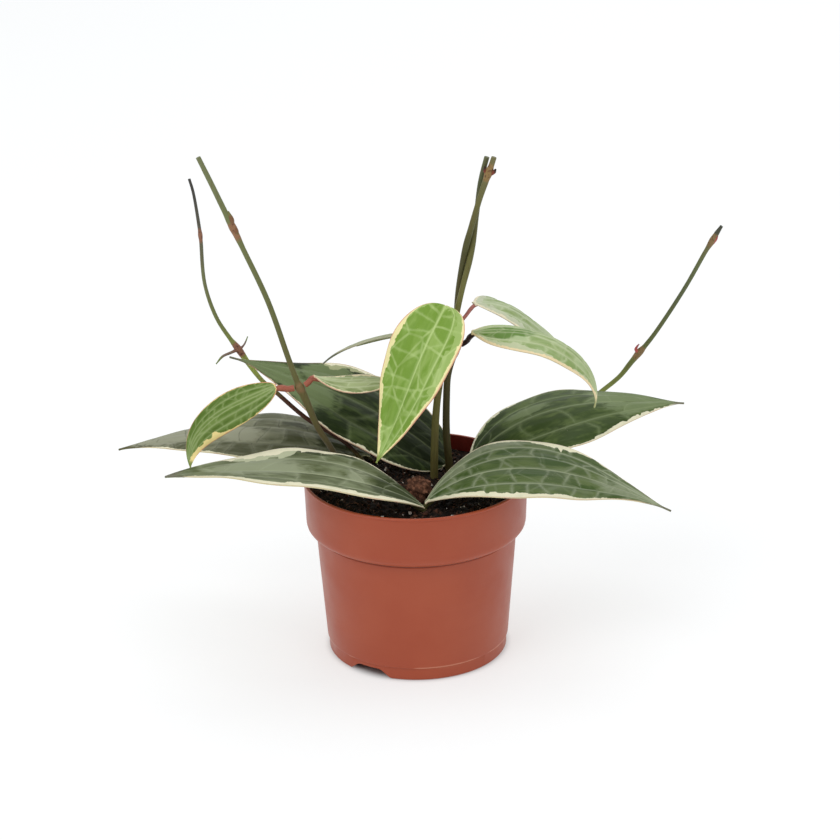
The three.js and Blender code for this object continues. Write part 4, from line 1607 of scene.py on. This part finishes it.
    def _colours(self, s: Array, v: Array, w: Array) -> dict[str, Array]:
        """Works out the numbers that the leaf's materials read.

        Args:
            s: places along the leaf.
            v: places across it.
            w: half widths.

        Returns:
            The attributes by name.
        """
        marks = self.marks
        out = self._nets(s, v, w)
        end = np.minimum(s, 1 - s) * self.length * 0.9 + 0.3
        margin = np.minimum((1 - np.abs(v)) * w, np.where(s < 0.5, end, FAR))
        cream = np.where(v > 0, self._band(marks.cream_left, s, marks.seed + 11),
                         self._band(marks.cream_right, s, marks.seed + 12))
        sage = np.where(v > 0, self._band(marks.sage_left, s, marks.seed + 13),
                        self._band(marks.sage_right, s, marks.seed + 14))
        patch = np.zeros(len(s))
        for along, across, long, wide, strength in marks.patches:
            blob = strength * np.exp(-((s - along) / long) ** 2 - ((v - across) / wide) ** 2)
            patch = np.where(np.abs(blob) > np.abs(patch), blob, patch)
        out["patch"] = patch * (0.75 + 0.5 * out["tone"])
        out["cream"] = margin - cream
        out["sage"] = margin - sage + 1.2
        out["margin"] = margin
        out["run"] = s
        return out

    def surface(self, s: Array, v: Array, numbers: dict[str, Array]) -> Array:
        """The middle of the blade.

        Args:
            s: places along the leaf.
            v: places across it.
            numbers: the leaf's stored numbers, for its relief.

        Returns:
            Points in millimetres from the pot's axis.
        """
        middle, side, face = self.spine(s)
        w = self.half_width(s)
        sign, reach = np.sign(v), np.abs(v)
        fold = np.radians(np.where(v < 0, self.right[0], self.left[0]))
        curl = np.radians(np.where(v < 0, self.right[1], self.left[1]))
        angle = fold + curl * reach
        out = w * (np.sin(angle) - np.sin(fold)) / curl
        rise = w * (np.cos(fold) - np.cos(angle)) / curl
        normal = side * (-sign * np.sin(angle))[:, None] + face * np.cos(angle)[:, None]
        quilt = np.interp(reach, self.ACROSS, self.QUILT)
        relief = np.minimum(1, w / 12)
        amplitude, count, phase = self.wave
        ripple = np.sin(FULL_TURN * (count * s + phase) + np.where(v < 0, 2.3, 0))
        wave = amplitude * reach ** 3 * ripple * np.sin(np.pi * s)
        inner = np.clip(numbers["margin"] / 3, 0, 1)
        groove = -0.22 * np.exp(-(np.maximum(numbers["nerve"], 0) / 0.9) ** 2)
        groove = groove - 0.16 * np.exp(-(numbers["net"] / 1.1) ** 2)
        puff = 0.16 * (numbers["tone"] - 0.5)
        height = quilt * relief + wave + (groove + puff) * relief * inner
        return middle + side * (sign * out)[:, None] + face * rise[:, None] + normal * height[:, None]

    def blade(self, materials: list[Material]) -> Piece:
        """Makes the blade, with its thickness and its stored numbers.

        Args:
            materials: for its upper side, its lower side and its edge, in this order.

        Returns:
            The blade.
        """
        rows = int(self.length / self.fineness)
        columns = 2 * int(self.width / self.fineness / 2)
        deselect()
        bpy.ops.mesh.primitive_grid_add(x_subdivisions=rows, y_subdivisions=columns, size=2)
        piece = bpy.context.object
        piece.name = self.node.replace("leaf_", "blade_")
        flat = coordinates(piece)
        u, v = (flat[:, 0] + 1) / 2, np.clip(flat[:, 1], -1, 1)
        s = np.clip(0.45 * u + 0.55 * 0.5 * (1 - np.cos(np.pi * u)), 0, 1)
        w = self.half_width(s)
        numbers = self._colours(s, v, w)
        move_vertices(piece, to_frame(self.surface(s, v, numbers)))
        for name, values in numbers.items():
            store(piece, name, values)
        chart = piece.data.uv_layers[0] if piece.data.uv_layers else piece.data.uv_layers.new()
        chart.name = "blade"
        loops = np.zeros(len(piece.data.loops), int)
        piece.data.loops.foreach_get("vertex_index", loops)
        offset = self.marks.seed * 0.37
        spots = np.column_stack([s * self.length * MM + offset, v * w * MM + offset])
        chart.data.foreach_set("uv", spots[loops].ravel())
        add_materials(piece, materials)
        thin = piece.vertex_groups.new(name="thin")
        steps = 7
        for step in range(steps + 1):
            ids = np.nonzero(np.round(np.abs(v) * steps).astype(int) == step)[0]
            thin.add(ids.tolist(), 1 - 0.36 * (step / steps) ** 2, "REPLACE")
        apply_modifier(piece, "SOLIDIFY", thickness=self.thickness * MM, offset=0.0, vertex_group="thin",
                       material_offset=1, material_offset_rim=2, use_rim=True)
        piece.vertex_groups.clear()
        return piece

    def keel(self) -> list[Knot]:
        """Lets the stalk run on under the midrib, thinner and thinner.

        Returns:
            Its knots under the blade.
        """
        knots = []
        scale = min(1.0, self.petiole[-1][3] / 1.4)
        for s, share in self.KEEL:
            spot = np.array([s])
            point, _, face = self.spine(spot)
            radius = share * scale
            sunk = 0.8 * min(1.0, float(self.half_width(spot)[0]) / 12) + 0.15
            knots.append((*(point[0] - face[0] * (sunk + radius)), radius))
        return knots

    def build(self) -> Piece:
        """Makes the blade and its stalk, and joins and dresses them.

        Returns:
            The finished leaf.
        """
        skins = [self.finish.upper(), self.finish.lower(), self.finish.rim()]
        materials = [*skins, self.stalk_finish.material()]
        blade = self.blade(materials)
        pick(blade)
        bpy.ops.object.shade_smooth()
        stem = stalk("petiole", [*self.petiole, *self.keel()], 5, 3)
        add_materials(stem, materials)
        paint_all(stem, len(skins))
        piece = joined([blade, stem])
        dress(piece, self.node, materials)
        return piece


def soil_petiole(x: float, y: float, radius: float) -> list[Knot]:
    """Stands the straight foot of a leaf stalk in the soil.

    Args:
        x: millimetres from the pot's axis.
        y: millimetres from the pot's axis.
        radius: the stalk's radius.

    Returns:
        Its knots, from its buried end up.
    """
    return [(x, y, z, radius) for z in (80.0, 86.0, 90.0, 92.5)]


FRONT = LeafFinish(
    "front_leaf", dark=(86, 96, 58), light=(132, 142, 108), silver=(152, 160, 130), nerve=(174, 182, 150),
    sage=(196, 202, 168), deep=(50, 62, 26), halo=0.4, nerve_strength=0.7, net_strength=0.42)
FRONT_RIGHT = LeafFinish(
    "front_right_leaf", dark=(66, 88, 36), light=(98, 116, 66), silver=(138, 148, 118),
    nerve=(172, 182, 150), sage=(190, 196, 156), deep=(58, 84, 28), cell_contrast=0.4, halo_reach=2.0,
    nerve_strength=0.72, net_strength=0.36, flush_width=0.6, web=0.14)
BACK_RIGHT = LeafFinish(
    "back_right_leaf", dark=(58, 77, 31), light=(93, 111, 60), silver=(114, 130, 86),
    nerve=(146, 160, 118), sage=(172, 184, 138), inlay=(126, 142, 100), deep=(46, 62, 24),
    cell_contrast=0.2, flush_width=0.5)
BACK_LEFT = LeafFinish(
    "back_left_leaf", dark=(34, 48, 17), light=(74, 90, 46), silver=(128, 142, 102), nerve=(110, 120, 86),
    sage=(176, 180, 136), flush=(206, 150, 124), edge=(206, 170, 146), inlay=(116, 133, 88),
    deep=(20, 30, 9), cell_contrast=0.2, halo=0.22, halo_reach=2.4, nerve_strength=0.45, net_strength=0.16,
    flush_width=0.8)
# The dark net colour is painted shade in the wrinkles along the cross nerves.
FAR_LEFT = LeafFinish(
    "far_left_leaf", dark=(84, 88, 61), light=(136, 139, 115), silver=(164, 166, 144),
    nerve=(152, 154, 130), sage=(174, 176, 144), flush=(196, 160, 138), tip=(92, 90, 54),
    deep=(52, 58, 34), net=(48, 54, 34), cell_contrast=0.4, halo=0.25, nerve_strength=0.25,
    net_strength=0.7)
BRIGHT = LeafFinish(
    "bright_leaf", dark=(124, 160, 62), light=(157, 187, 99), silver=(168, 196, 116),
    nerve=(200, 222, 148), sage=(166, 194, 112), cream=(252, 242, 180), flush=(226, 150, 128),
    tip=(128, 148, 62), under=(160, 170, 102), edge=(230, 176, 146), halo_reach=1.6, nerve_strength=0.7,
    net_strength=0.24, flush_width=0.8, flush_strength=0.75, streak=0.06, web=0.5, web_cells=70.0)
HANGING = LeafFinish(
    "hanging_leaf", dark=(88, 116, 42), light=(112, 136, 66), silver=(134, 158, 88), nerve=(172, 188, 132),
    sage=(170, 186, 112), cream=(250, 228, 156), flush=(226, 142, 116), tip=(112, 132, 60),
    under=(150, 160, 92), edge=(226, 160, 132), halo_reach=1.5, nerve_strength=0.6, net_strength=0.3,
    flush_width=0.7, flush_strength=0.75, web=0.2, web_cells=90.0)
SHORT_MIDDLE = LeafFinish(
    "short_leaf", dark=(124, 141, 86), light=(170, 184, 132), silver=(190, 200, 154),
    nerve=(208, 217, 178), sage=(206, 212, 170), cream=(242, 230, 192), flush=(216, 152, 130),
    tip=(150, 156, 112), under=(166, 172, 118), edge=(224, 184, 156), halo_reach=1.4, nerve_strength=0.6,
    net_strength=0.36, flush_width=0.6, flush_strength=0.7)
UPPER_RIGHT = LeafFinish(
    "upper_right_leaf", dark=(146, 168, 106), light=(180, 195, 151), silver=(202, 214, 176),
    nerve=(208, 218, 186), sage=(206, 212, 184), cream=(242, 234, 204), flush=(222, 180, 160),
    tip=(160, 168, 128), under=(170, 176, 122), edge=(222, 212, 180), halo_reach=1.6, nerve_strength=0.5,
    net_strength=0.3, flush_strength=0.35, web=0.25, web_cells=90.0)
LOWER_RIGHT = LeafFinish(
    "lower_right_leaf", dark=(144, 168, 104), light=(178, 197, 148), silver=(196, 208, 162),
    nerve=(200, 210, 168), sage=(200, 208, 170), cream=(244, 224, 180), flush=(220, 172, 138),
    tip=(170, 178, 122), under=(158, 160, 90), edge=(222, 212, 170), inlay=(88, 128, 42), halo_reach=1.6,
    nerve_strength=0.5, flush_strength=0.4, web=0.3, web_cells=85.0)
NARROW = LeafFinish(
    "narrow_leaf", dark=(158, 164, 130), light=(174, 178, 148), silver=(180, 184, 156),
    nerve=(186, 190, 162), sage=(176, 180, 150), cream=(190, 190, 160), flush=(180, 162, 142),
    tip=(130, 132, 120), under=(158, 162, 128), edge=(176, 176, 148), halo_reach=1.4, nerve_strength=0.4,
    net_strength=0.25, tip_start=0.86)
# The old, salmon and blushed stalks are blotched with a darker copy of their skin, painted shade; the purple
# and green stalks' blotches are their own colours.
OLD_STALK = BlotchedFinish("old_leaf_stalk", (92, 90, 52), (62, 56, 36))
SALMON_STALK = BlotchedFinish("salmon_stalk", (168, 96, 76), (98, 52, 44))
BLUSHED_STALK = BlotchedFinish("blushed_stalk", (176, 108, 98), (126, 74, 66))
PURPLE_STALK = BlotchedFinish("purple_stalk", (58, 38, 40), (84, 46, 46))
GREEN_STALK = BlotchedFinish("green_stalk", (136, 144, 80), (150, 100, 80))

LEAVES = [
    Leaf(
        node="leaf_front_left", slot="old_leaf", finish=FRONT, stalk_finish=OLD_STALK,
        base=(3.8, -32.6, 93.6), heading=(202, 168, 182), pitch=(41, 0.5, -5), roll=(-11, -1, 10),
        length=143, width=58, broad=0.59, base_shape=0.72, tip_shape=0.8, left=(12, -3), right=(4, -5),
        wave=(0.7, 3, 0.1), thickness=1.1, petiole=soil_petiole(3.8, -32.6, 1.4),
        marks=Marks(
            cream_left=((0, 2.0), (0.1, 3.2), (0.3, 4.2), (0.4, 4.6), (0.46, 4.0), (0.52, 3.2), (0.7, 2.5),
                        (0.8, 1.9), (0.88, 0.8), (0.92, 0)),
            cream_right=((0, 0.6), (0.36, 1.2), (0.42, 3.4), (0.5, 5.6), (0.58, 7.2), (0.62, 10),
                         (0.7, 11.4), (0.76, 9.4), (0.8, 4.4), (0.84, 1.8), (0.92, 0.6), (1, 0)),
            sage_right=((0.5, 0), (0.55, 8), (0.6, 12.5), (0.68, 14), (0.74, 12), (0.8, 6), (0.84, 0)),
            # the light patches are partly the leaf's own silver markings and partly painted sheen
            patches=((0.27, -0.2, 0.07, 0.5, 0.75), (0.66, 0.0, 0.26, 0.6, 0.9),
                     (0.47, -0.84, 0.1, 0.13, -0.9), (0.33, -0.9, 0.07, 0.1, -0.8),
                     (0.56, -0.72, 0.05, 0.1, -0.7), (0.1, 0.0, 0.13, 0.9, -1.3),
                     (0.92, 0.0, 0.04, 0.9, -0.4)),
            laterals=(-0.55, 0.62), rung_gap=24, seed=3)),
    Leaf(
        node="leaf_front_right", slot="old_leaf", finish=FRONT_RIGHT, stalk_finish=OLD_STALK,
        base=(5, -28.8, 94.6), heading=(-2, 1, -24), pitch=(47, -9, -17), roll=(6, 2, 13),
        length=138, width=63, broad=0.43, base_shape=0.95, tip_shape=1.9, left=(7, -6), right=(0, -9),
        wave=(0.7, 3, 0.4), thickness=1.1, petiole=soil_petiole(5, -28, 1.4),
        marks=Marks(
            cream_left=((0, 0.8), (0.28, 1.0), (0.33, 2.0), (0.46, 3.2), (0.53, 6.0), (0.59, 6.4),
                        (0.61, 3.4), (0.65, 2.2), (0.67, 0), (0.71, 1.6), (0.74, 0), (0.79, 1.5), (0.82, 0)),
            cream_right=((0, 1.6), (0.08, 2.8), (0.3, 3.8), (0.44, 3.6), (0.56, 2.4), (0.66, 1.2),
                         (0.76, 0.6), (0.8, 0)),
            # the light patches are partly the leaf's own silver markings and partly painted sheen
            patches=((0.12, 0.7, 0.13, 0.5, 0.9), (0.3, 0.9, 0.16, 0.25, 0.9), (0.14, 0.0, 0.08, 0.3, 0.6),
                     (0.84, 0.0, 0.18, 0.8, 0.9), (0.42, -0.2, 0.1, 0.2, -0.8),
                     (0.36, 0.55, 0.06, 0.16, -0.7), (0.52, 0.3, 0.09, 0.2, -0.8),
                     (0.04, 0.0, 0.05, 0.8, -0.8), (0.66, -0.55, 0.08, 0.2, -0.6)),
            laterals=(-0.6, 0.36, 0.72), rung_gap=12, nerve_width=0.45, seed=21)),
    Leaf(
        node="leaf_back_right", slot="old_leaf", finish=BACK_RIGHT, stalk_finish=OLD_STALK,
        base=(29, 22, 95), heading=(29, 14, 9), pitch=(46, 5, -8), roll=(14, 8, 15),
        length=131, width=59, broad=0.43, base_shape=0.85, tip_shape=1.45, left=(-7, -13),
        right=(-10, -15), wave=(0.7, 3, 0.7), thickness=1.1, petiole=soil_petiole(29, 22, 1.7),
        marks=Marks(
            cream_left=((0, 1.2), (0.1, 2.4), (0.22, 3.0), (0.34, 2.4), (0.42, 1.4), (0.5, 0.6),
                        (0.54, 1.6), (0.6, 1.6), (0.64, 0)),
            cream_right=((0.4, 1.2), (0.5, 1.3), (0.62, 1.4), (0.7, 2.1), (0.8, 1.9), (0.86, 1.1),
                         (0.9, 0.5), (1, 0.3)),
            sage_left=((0, 0), (0.1, 3.6), (0.3, 4.4), (0.4, 2.0), (0.5, 0), (0.54, 4), (0.6, 4.5),
                       (0.63, 0)),
            patches=((0.34, 0.25, 0.14, 0.2, 0.8), (0.82, 0.1, 0.24, 0.9, 1.1), (0.66, 0.5, 0.1, 0.3, 0.7),
                     (0.1, 0.1, 0.12, 0.9, -1.0), (0.4, -0.5, 0.16, 0.3, -0.5),
                     (0.22, 0.7, 0.08, 0.2, -0.6)),
            rung_gap=26, nerve_width=0.5, jag=0.45, seed=33)),
    Leaf(
        node="leaf_back_left", slot="dark_leaf", finish=BACK_LEFT, stalk_finish=OLD_STALK,
        base=(17, 25.5, 94.6), heading=(170, 172, 158), pitch=(44, 24, 7), roll=(-26, -17, -21),
        length=134, width=59, broad=0.39, base_shape=0.45, tip_shape=1.9, left=(-2.5, -8), right=(0.5, -8),
        wave=(0.8, 3, 0.2), thickness=1.1, petiole=soil_petiole(17, 25.5, 1.7),
        marks=Marks(
            cream_left=((0, 1.0), (0.1, 1.2), (0.3, 1.2), (0.34, 1.5), (0.42, 1.1), (0.46, 0.8),
                        (0.64, 0.7), (0.8, 0.5), (0.86, 0)),
            cream_right=((0, 0.6), (0.3, 0.8), (0.36, 2.2), (0.58, 3.0), (0.63, 1.0), (0.66, 0)),
            sage_right=((0.34, 0), (0.38, 4.4), (0.6, 6), (0.66, 0)),
            patches=((0.86, 0.0, 0.2, 0.9, 1.4), (0.66, 0.4, 0.16, 0.6, 1.1), (0.6, -0.5, 0.13, 0.6, 1.35),
                     (0.12, 0.0, 0.16, 0.9, -1.0), (0.42, -0.78, 0.05, 0.1, -0.8),
                     (0.3, 0.7, 0.1, 0.3, -0.4)),
            rung_gap=30, nerve_width=0.4, seed=47)),
    Leaf(
        node="leaf_far_left", slot="old_leaf", finish=FAR_LEFT, stalk_finish=OLD_STALK,
        base=(-25, 36, 95), heading=(187, 170, 183), pitch=(37, -5, -15), roll=(-10, -2, 11),
        length=145, width=55, broad=0.43, base_shape=0.9, tip_shape=1.2, left=(-7, -13), right=(-5, -12.5),
        wave=(0.6, 3, 0.5), thickness=1.1, petiole=soil_petiole(-25, 36, 1.7),
        marks=Marks(
            cream_left=((0, 0.5), (0.5, 0.6), (0.6, 1.0), (0.8, 0.9), (0.88, 0)),
            cream_right=((0.4, 0.4), (0.5, 0)),
            patches=((0.86, 0.0, 0.24, 1.2, 1.1), (0.5, 0.3, 0.12, 0.4, 0.75), (0.1, 0.0, 0.14, 0.9, -1.0),
                     (0.3, -0.2, 0.1, 0.2, -0.6)),
            rung_gap=11, seed=52)),
    Leaf(
        node="leaf_hanging_left", slot="young_leaf", finish=HANGING, stalk_finish=SALMON_STALK,
        base=(-73, -1.5, 151), heading=(172, 179, 187), pitch=(-32, -35, -98), roll=(-35, -31, -30),
        length=71, width=22, broad=0.44, base_shape=0.5, tip_shape=0.9, left=(-21, -20), right=(6, -7),
        wave=(0.3, 2, 0.3), thickness=0.9, fineness=0.5,
        petiole=[(-63.4, -0.6, 149.6, 1.7), (-66.5, -0.9, 149.2, 1.7), (-70, -1.2, 149.8, 1.8)],
        marks=Marks(
            cream_left=((0, 1.0), (0.06, 0.5), (0.35, 0.6), (0.45, 1.0), (0.56, 1.6), (0.6, 3.6),
                        (0.63, 3.8), (0.65, 2.0), (0.78, 2.8), (0.9, 2.8), (1, 1.2)),
            cream_right=((0, 1.2), (0.06, 0.4), (0.2, 0.4), (0.3, 0.9), (0.6, 0.8), (0.7, 0.2), (1, 0.3)),
            laterals=(-0.6, -0.2, 0.3, 0.66), rung_gap=9, nerve_width=0.28, jag=0.3, seed=61)),
    Leaf(
        node="leaf_short_middle", slot="pale_leaf", finish=SHORT_MIDDLE, stalk_finish=SALMON_STALK,
        base=(-53, 0.5, 156), heading=(16, 16, 4), pitch=(-26, -6, -29), roll=(-7, 11, 4),
        length=54, width=18, broad=0.39, base_shape=0.7, tip_shape=1.3, left=(-7, -13), right=(-16, -17),
        wave=(0.3, 2, 0.1), thickness=0.9, fineness=0.5,
        petiole=[(-57.6, 0, 151, 1.6), (-55.8, 0.1, 152.4, 1.6), (-54, 0.3, 154.4, 1.6)],
        marks=Marks(
            cream_left=((0, 1.0), (0.1, 2.6), (0.8, 2.8), (1, 1.2)),
            cream_right=((0, 0.7), (0.5, 0.9), (1, 0.6)),
            laterals=(-0.6, -0.25, 0.3, 0.6), rung_gap=10, nerve_width=0.25, jag=0.25, seed=68)),
    Leaf(
        node="leaf_centre", slot="young_leaf", finish=BRIGHT, stalk_finish=SALMON_STALK,
        base=(17, 6, 192), heading=(-116, -137, -137), pitch=(-27, -59, -49), roll=(-9, 4, -8),
        length=92, width=44, broad=0.37, base_shape=0.4, tip_shape=1.2, left=(2, -8), right=(10, -4),
        wave=(0.5, 3, 0.2), thickness=0.9, fineness=0.45,
        petiole=[(19.8, 9.4, 181.6, 1.4), (18.9, 8.3, 185, 1.4), (17.8, 7, 189.2, 1.4)],
        marks=Marks(
            cream_left=((0, 0.8), (0.08, 1.6), (0.25, 1.8), (0.45, 1.5), (0.6, 1.7), (0.8, 1.2),
                        (0.92, 0.7), (1, 0.4)),
            cream_right=((0, 0.5), (0.06, 0.7), (0.14, 1.4), (0.22, 3.2), (0.36, 3.6), (0.5, 2.8),
                         (0.7, 2.1), (0.88, 1.7), (1, 0.9)),
            sage_left=((0, 2.5), (0.08, 7), (0.2, 9), (0.35, 8), (0.5, 6), (0.65, 4), (0.75, 0)),
            sage_right=((0, 1.5), (0.1, 4.5), (0.2, 4.5), (0.26, 1.0), (0.75, 0), (0.85, 4.5), (0.93, 5.0),
                        (1, 3)),
            laterals=(0.56,), rung_gap=13, nerve_width=0.45, jag=0.3, seed=71)),
    Leaf(
        node="leaf_upper_right", slot="pale_leaf", finish=UPPER_RIGHT, stalk_finish=BLUSHED_STALK,
        base=(32, 17.5, 189), heading=(37, 28, 7), pitch=(3, -39, -46), roll=(9, -2, 17),
        length=71, width=34, broad=0.44, base_shape=0.85, tip_shape=1.33, left=(2, -9), right=(-22, -20),
        wave=(0.4, 2, 0.6), thickness=0.9, fineness=0.55,
        petiole=[(25.1, 10.9, 181.4, 1), (27.6, 12.2, 184, 1), (30.6, 15.2, 187, 1.1)],
        marks=Marks(
            cream_left=((0, 1.6), (0.2, 1.2), (0.8, 1.2), (1, 0.6)),
            cream_right=((0, 1.6), (0.3, 1.4), (0.8, 1.0), (1, 0.5)),
            sage_left=((0, 8), (0.3, 3), (1, 1)),
            sage_right=((0, 8), (0.4, 5), (1, 2)),
            laterals=(-0.6, -0.3, 0.3, 0.6), rung_gap=12, nerve_width=0.35, seed=83)),
    Leaf(
        node="leaf_lower_right", slot="pale_leaf", finish=LOWER_RIGHT, stalk_finish=PURPLE_STALK,
        base=(30.5, 5, 177.5), heading=(-32, -17, -17), pitch=(18, -20, -106), roll=(34, -19, 19),
        length=94, width=35, broad=0.5, base_shape=0.8, tip_shape=1.8, left=(-6, -13), right=(-24, -21.5),
        wave=(0.4, 3, 0.3), thickness=0.9, fineness=0.55,
        petiole=[(25.6, 15.2, 166.8, 1.4), (28.2, 12.8, 169.6, 1.4), (29.8, 8.6, 173.6, 1.5)],
        marks=Marks(
            cream_left=((0, 1.4), (0.1, 0.8), (0.3, 0.8), (0.45, 1.6), (0.7, 1.4), (1, 0.8)),
            cream_right=((0, 1.8), (0.3, 1.4), (0.6, 1.6), (1, 0.8)),
            sage_left=((0, 6), (0.05, 3), (0.1, 1), (0.4, 1), (0.6, 2), (1, 1)),
            sage_right=((0, 3), (0.2, 3.6), (0.3, 5.2), (0.5, 3.6), (0.7, 2.6), (1, 2)),
            patches=((0.17, -0.15, 0.12, 0.34, 2.3), (0.31, -0.12, 0.1, 0.22, 1.7)),
            laterals=(-0.58, -0.25, 0.25, 0.58), rung_gap=13, nerve_width=0.38, jag=0.3, seed=95)),
    Leaf(
        node="leaf_narrow_left", slot="young_leaf", finish=NARROW, stalk_finish=GREEN_STALK,
        base=(8, 22, 173.6), heading=(174, 176, 172), pitch=(-12, -16, -46), roll=(14, 18, 16),
        length=62, width=23, broad=0.47, base_shape=0.6, tip_shape=1.55, left=(-2, -4), right=(-2, -4),
        wave=(0.3, 2, 0.4), thickness=0.9, fineness=0.6,
        petiole=[(20.2, 18.6, 166.4, 1.5), (17, 20.6, 168.8, 1.4), (12, 21.8, 171.8, 1.4)],
        marks=Marks(
            cream_left=((0, 1.0), (1, 0.6)),
            cream_right=((0, 1.0), (1, 0.6)),
            rung_gap=11, nerve_width=0.3, jag=0.3, seed=104)),
]


# The studio


@dataclass(frozen=True)
class Studio:
    """Pale floor, soft light and the camera, all set out from the pot's axis.

    The camera's distance and aim are in millimetres and its angles in degrees, focal_pixels is its focal
    length in pixels of a frame that is frame_pixels wide, and contact is the radii in metres over which
    the floor's glow starts around the pot's foot, leaving a painted contact shadow inside them. A lamp is
    (place, side, watts), in metres.
    """

    distance: float = 1500.0
    elevation: float = 21.9
    roll: float = 0.82
    aim: Point = (2.76, 0.0, 130.1)
    focal_pixels: float = 2826.0
    frame_pixels: float = 840.0
    floor_glow: float = 0.57
    floor_colour: Linear = (0.49, 0.505, 0.515, 1.0)
    contact: tuple[float, float] = (0.043, 0.052)
    sky: float = 0.47
    sensor: float = 36.0

    LAMPS = {
        Light.KEY: ((-1.1, -1.3, 1.9), 1.4, 16.5),
        Light.FILL: ((1.6, -1.2, 1.2), 1.6, 5.7),
        Light.TOP: ((0.1, 0.5, 2.4), 1.8, 14),
        Light.BACK: ((0.6, 2.0, 1.4), 1.6, 6.3),
    }

    def camera(self) -> Piece:
        """Sets the camera up at the photograph's viewing angle.

        Returns:
            The camera.
        """
        tilt, roll = math.radians(self.elevation), math.radians(self.roll)
        ahead = Vector((0, math.cos(tilt), -math.sin(tilt)))
        up = Vector((0, math.sin(tilt), math.cos(tilt)))
        right = Vector((1, 0, 0))
        across = right * math.cos(roll) - up * math.sin(roll)
        above = up * math.cos(roll) + right * math.sin(roll)
        place = pot_axis() + (Vector(self.aim) - ahead * self.distance) * MM
        deselect()
        bpy.ops.object.camera_add(location=place)
        camera = bpy.context.object
        turn = Matrix((across, above, -ahead)).transposed().to_4x4()
        camera.matrix_world = Matrix.Translation(place) @ turn
        camera.data.sensor_width = self.sensor
        camera.data.lens = self.focal_pixels / self.frame_pixels * self.sensor
        camera.data.clip_end = 50.0
        bpy.context.scene.camera = camera
        return camera

    def floor(self) -> Piece:
        """Lays the plain pale floor, which glows faintly but not under and just around the pot's foot, where
        the darker floor is a painted contact shadow.

        Returns:
            The floor.
        """
        deselect()
        bpy.ops.mesh.primitive_plane_add(size=30, location=(0, 0, 0))
        floor = bpy.context.object
        floor.name = "studio_floor"
        shade = Shade("pale_floor", 0.9, 0.1)
        shade.surface.inputs["Emission Color"].default_value = (1, 1, 1, 1)
        away = shade.tree.nodes.new("ShaderNodeVectorMath")
        away.operation = "DISTANCE"
        shade.put(away.inputs[0], shade.place())
        away.inputs[1].default_value = pot_axis()
        # no glow under the pot and a few millimetres round its foot: a painted contact shadow
        inside, outside = self.contact
        glow = shade.step(away.outputs["Value"], inside, outside, 0, self.floor_glow)
        shade.put(shade.surface.inputs["Emission Strength"], glow)
        floor.data.materials.append(shade.finish(self.floor_colour))
        return floor

    def lamp(self, kind: Light) -> Piece:
        """Adds one soft lamp that points at the plant.

        Args:
            kind: which lamp it is.

        Returns:
            The lamp.
        """
        place, size, power = self.LAMPS[kind]
        deselect()
        bpy.ops.object.light_add(type="AREA", location=place)
        lamp = bpy.context.object
        lamp.name = "lamp_" + kind.value
        lamp.data.size = size
        lamp.data.energy = power
        target = Vector((0, 0, 0.12))
        lamp.rotation_euler = (target - Vector(place)).to_track_quat("-Z", "Y").to_euler()
        return lamp

    def build(self) -> None:
        """Sets out the floor, the lamps, the sky and the camera."""
        self.floor()
        for kind in self.LAMPS:
            self.lamp(kind)
        world = bpy.data.worlds.new("pale_sky")
        world.use_nodes = True
        background = world.node_tree.nodes["Background"]
        background.inputs["Color"].default_value = (1, 1, 1, 1)
        background.inputs["Strength"].default_value = self.sky
        bpy.context.scene.world = world
        bpy.context.scene.view_settings.view_transform = "Standard"
        self.camera()


def main() -> None:
    """Builds the studio, the pot and the plant, in order."""
    logging.basicConfig(level=logging.INFO, format="%(name)s %(message)s")
    Studio().build()
    Pot().build()
    soil = Soil()
    soil.bed()
    soil.crumbs()
    soil.peat_plug()
    for stem in STEMS:
        stem.build()
    for leaf in LEAVES:
        leaf.build()


if __name__ == "__main__":
    main()
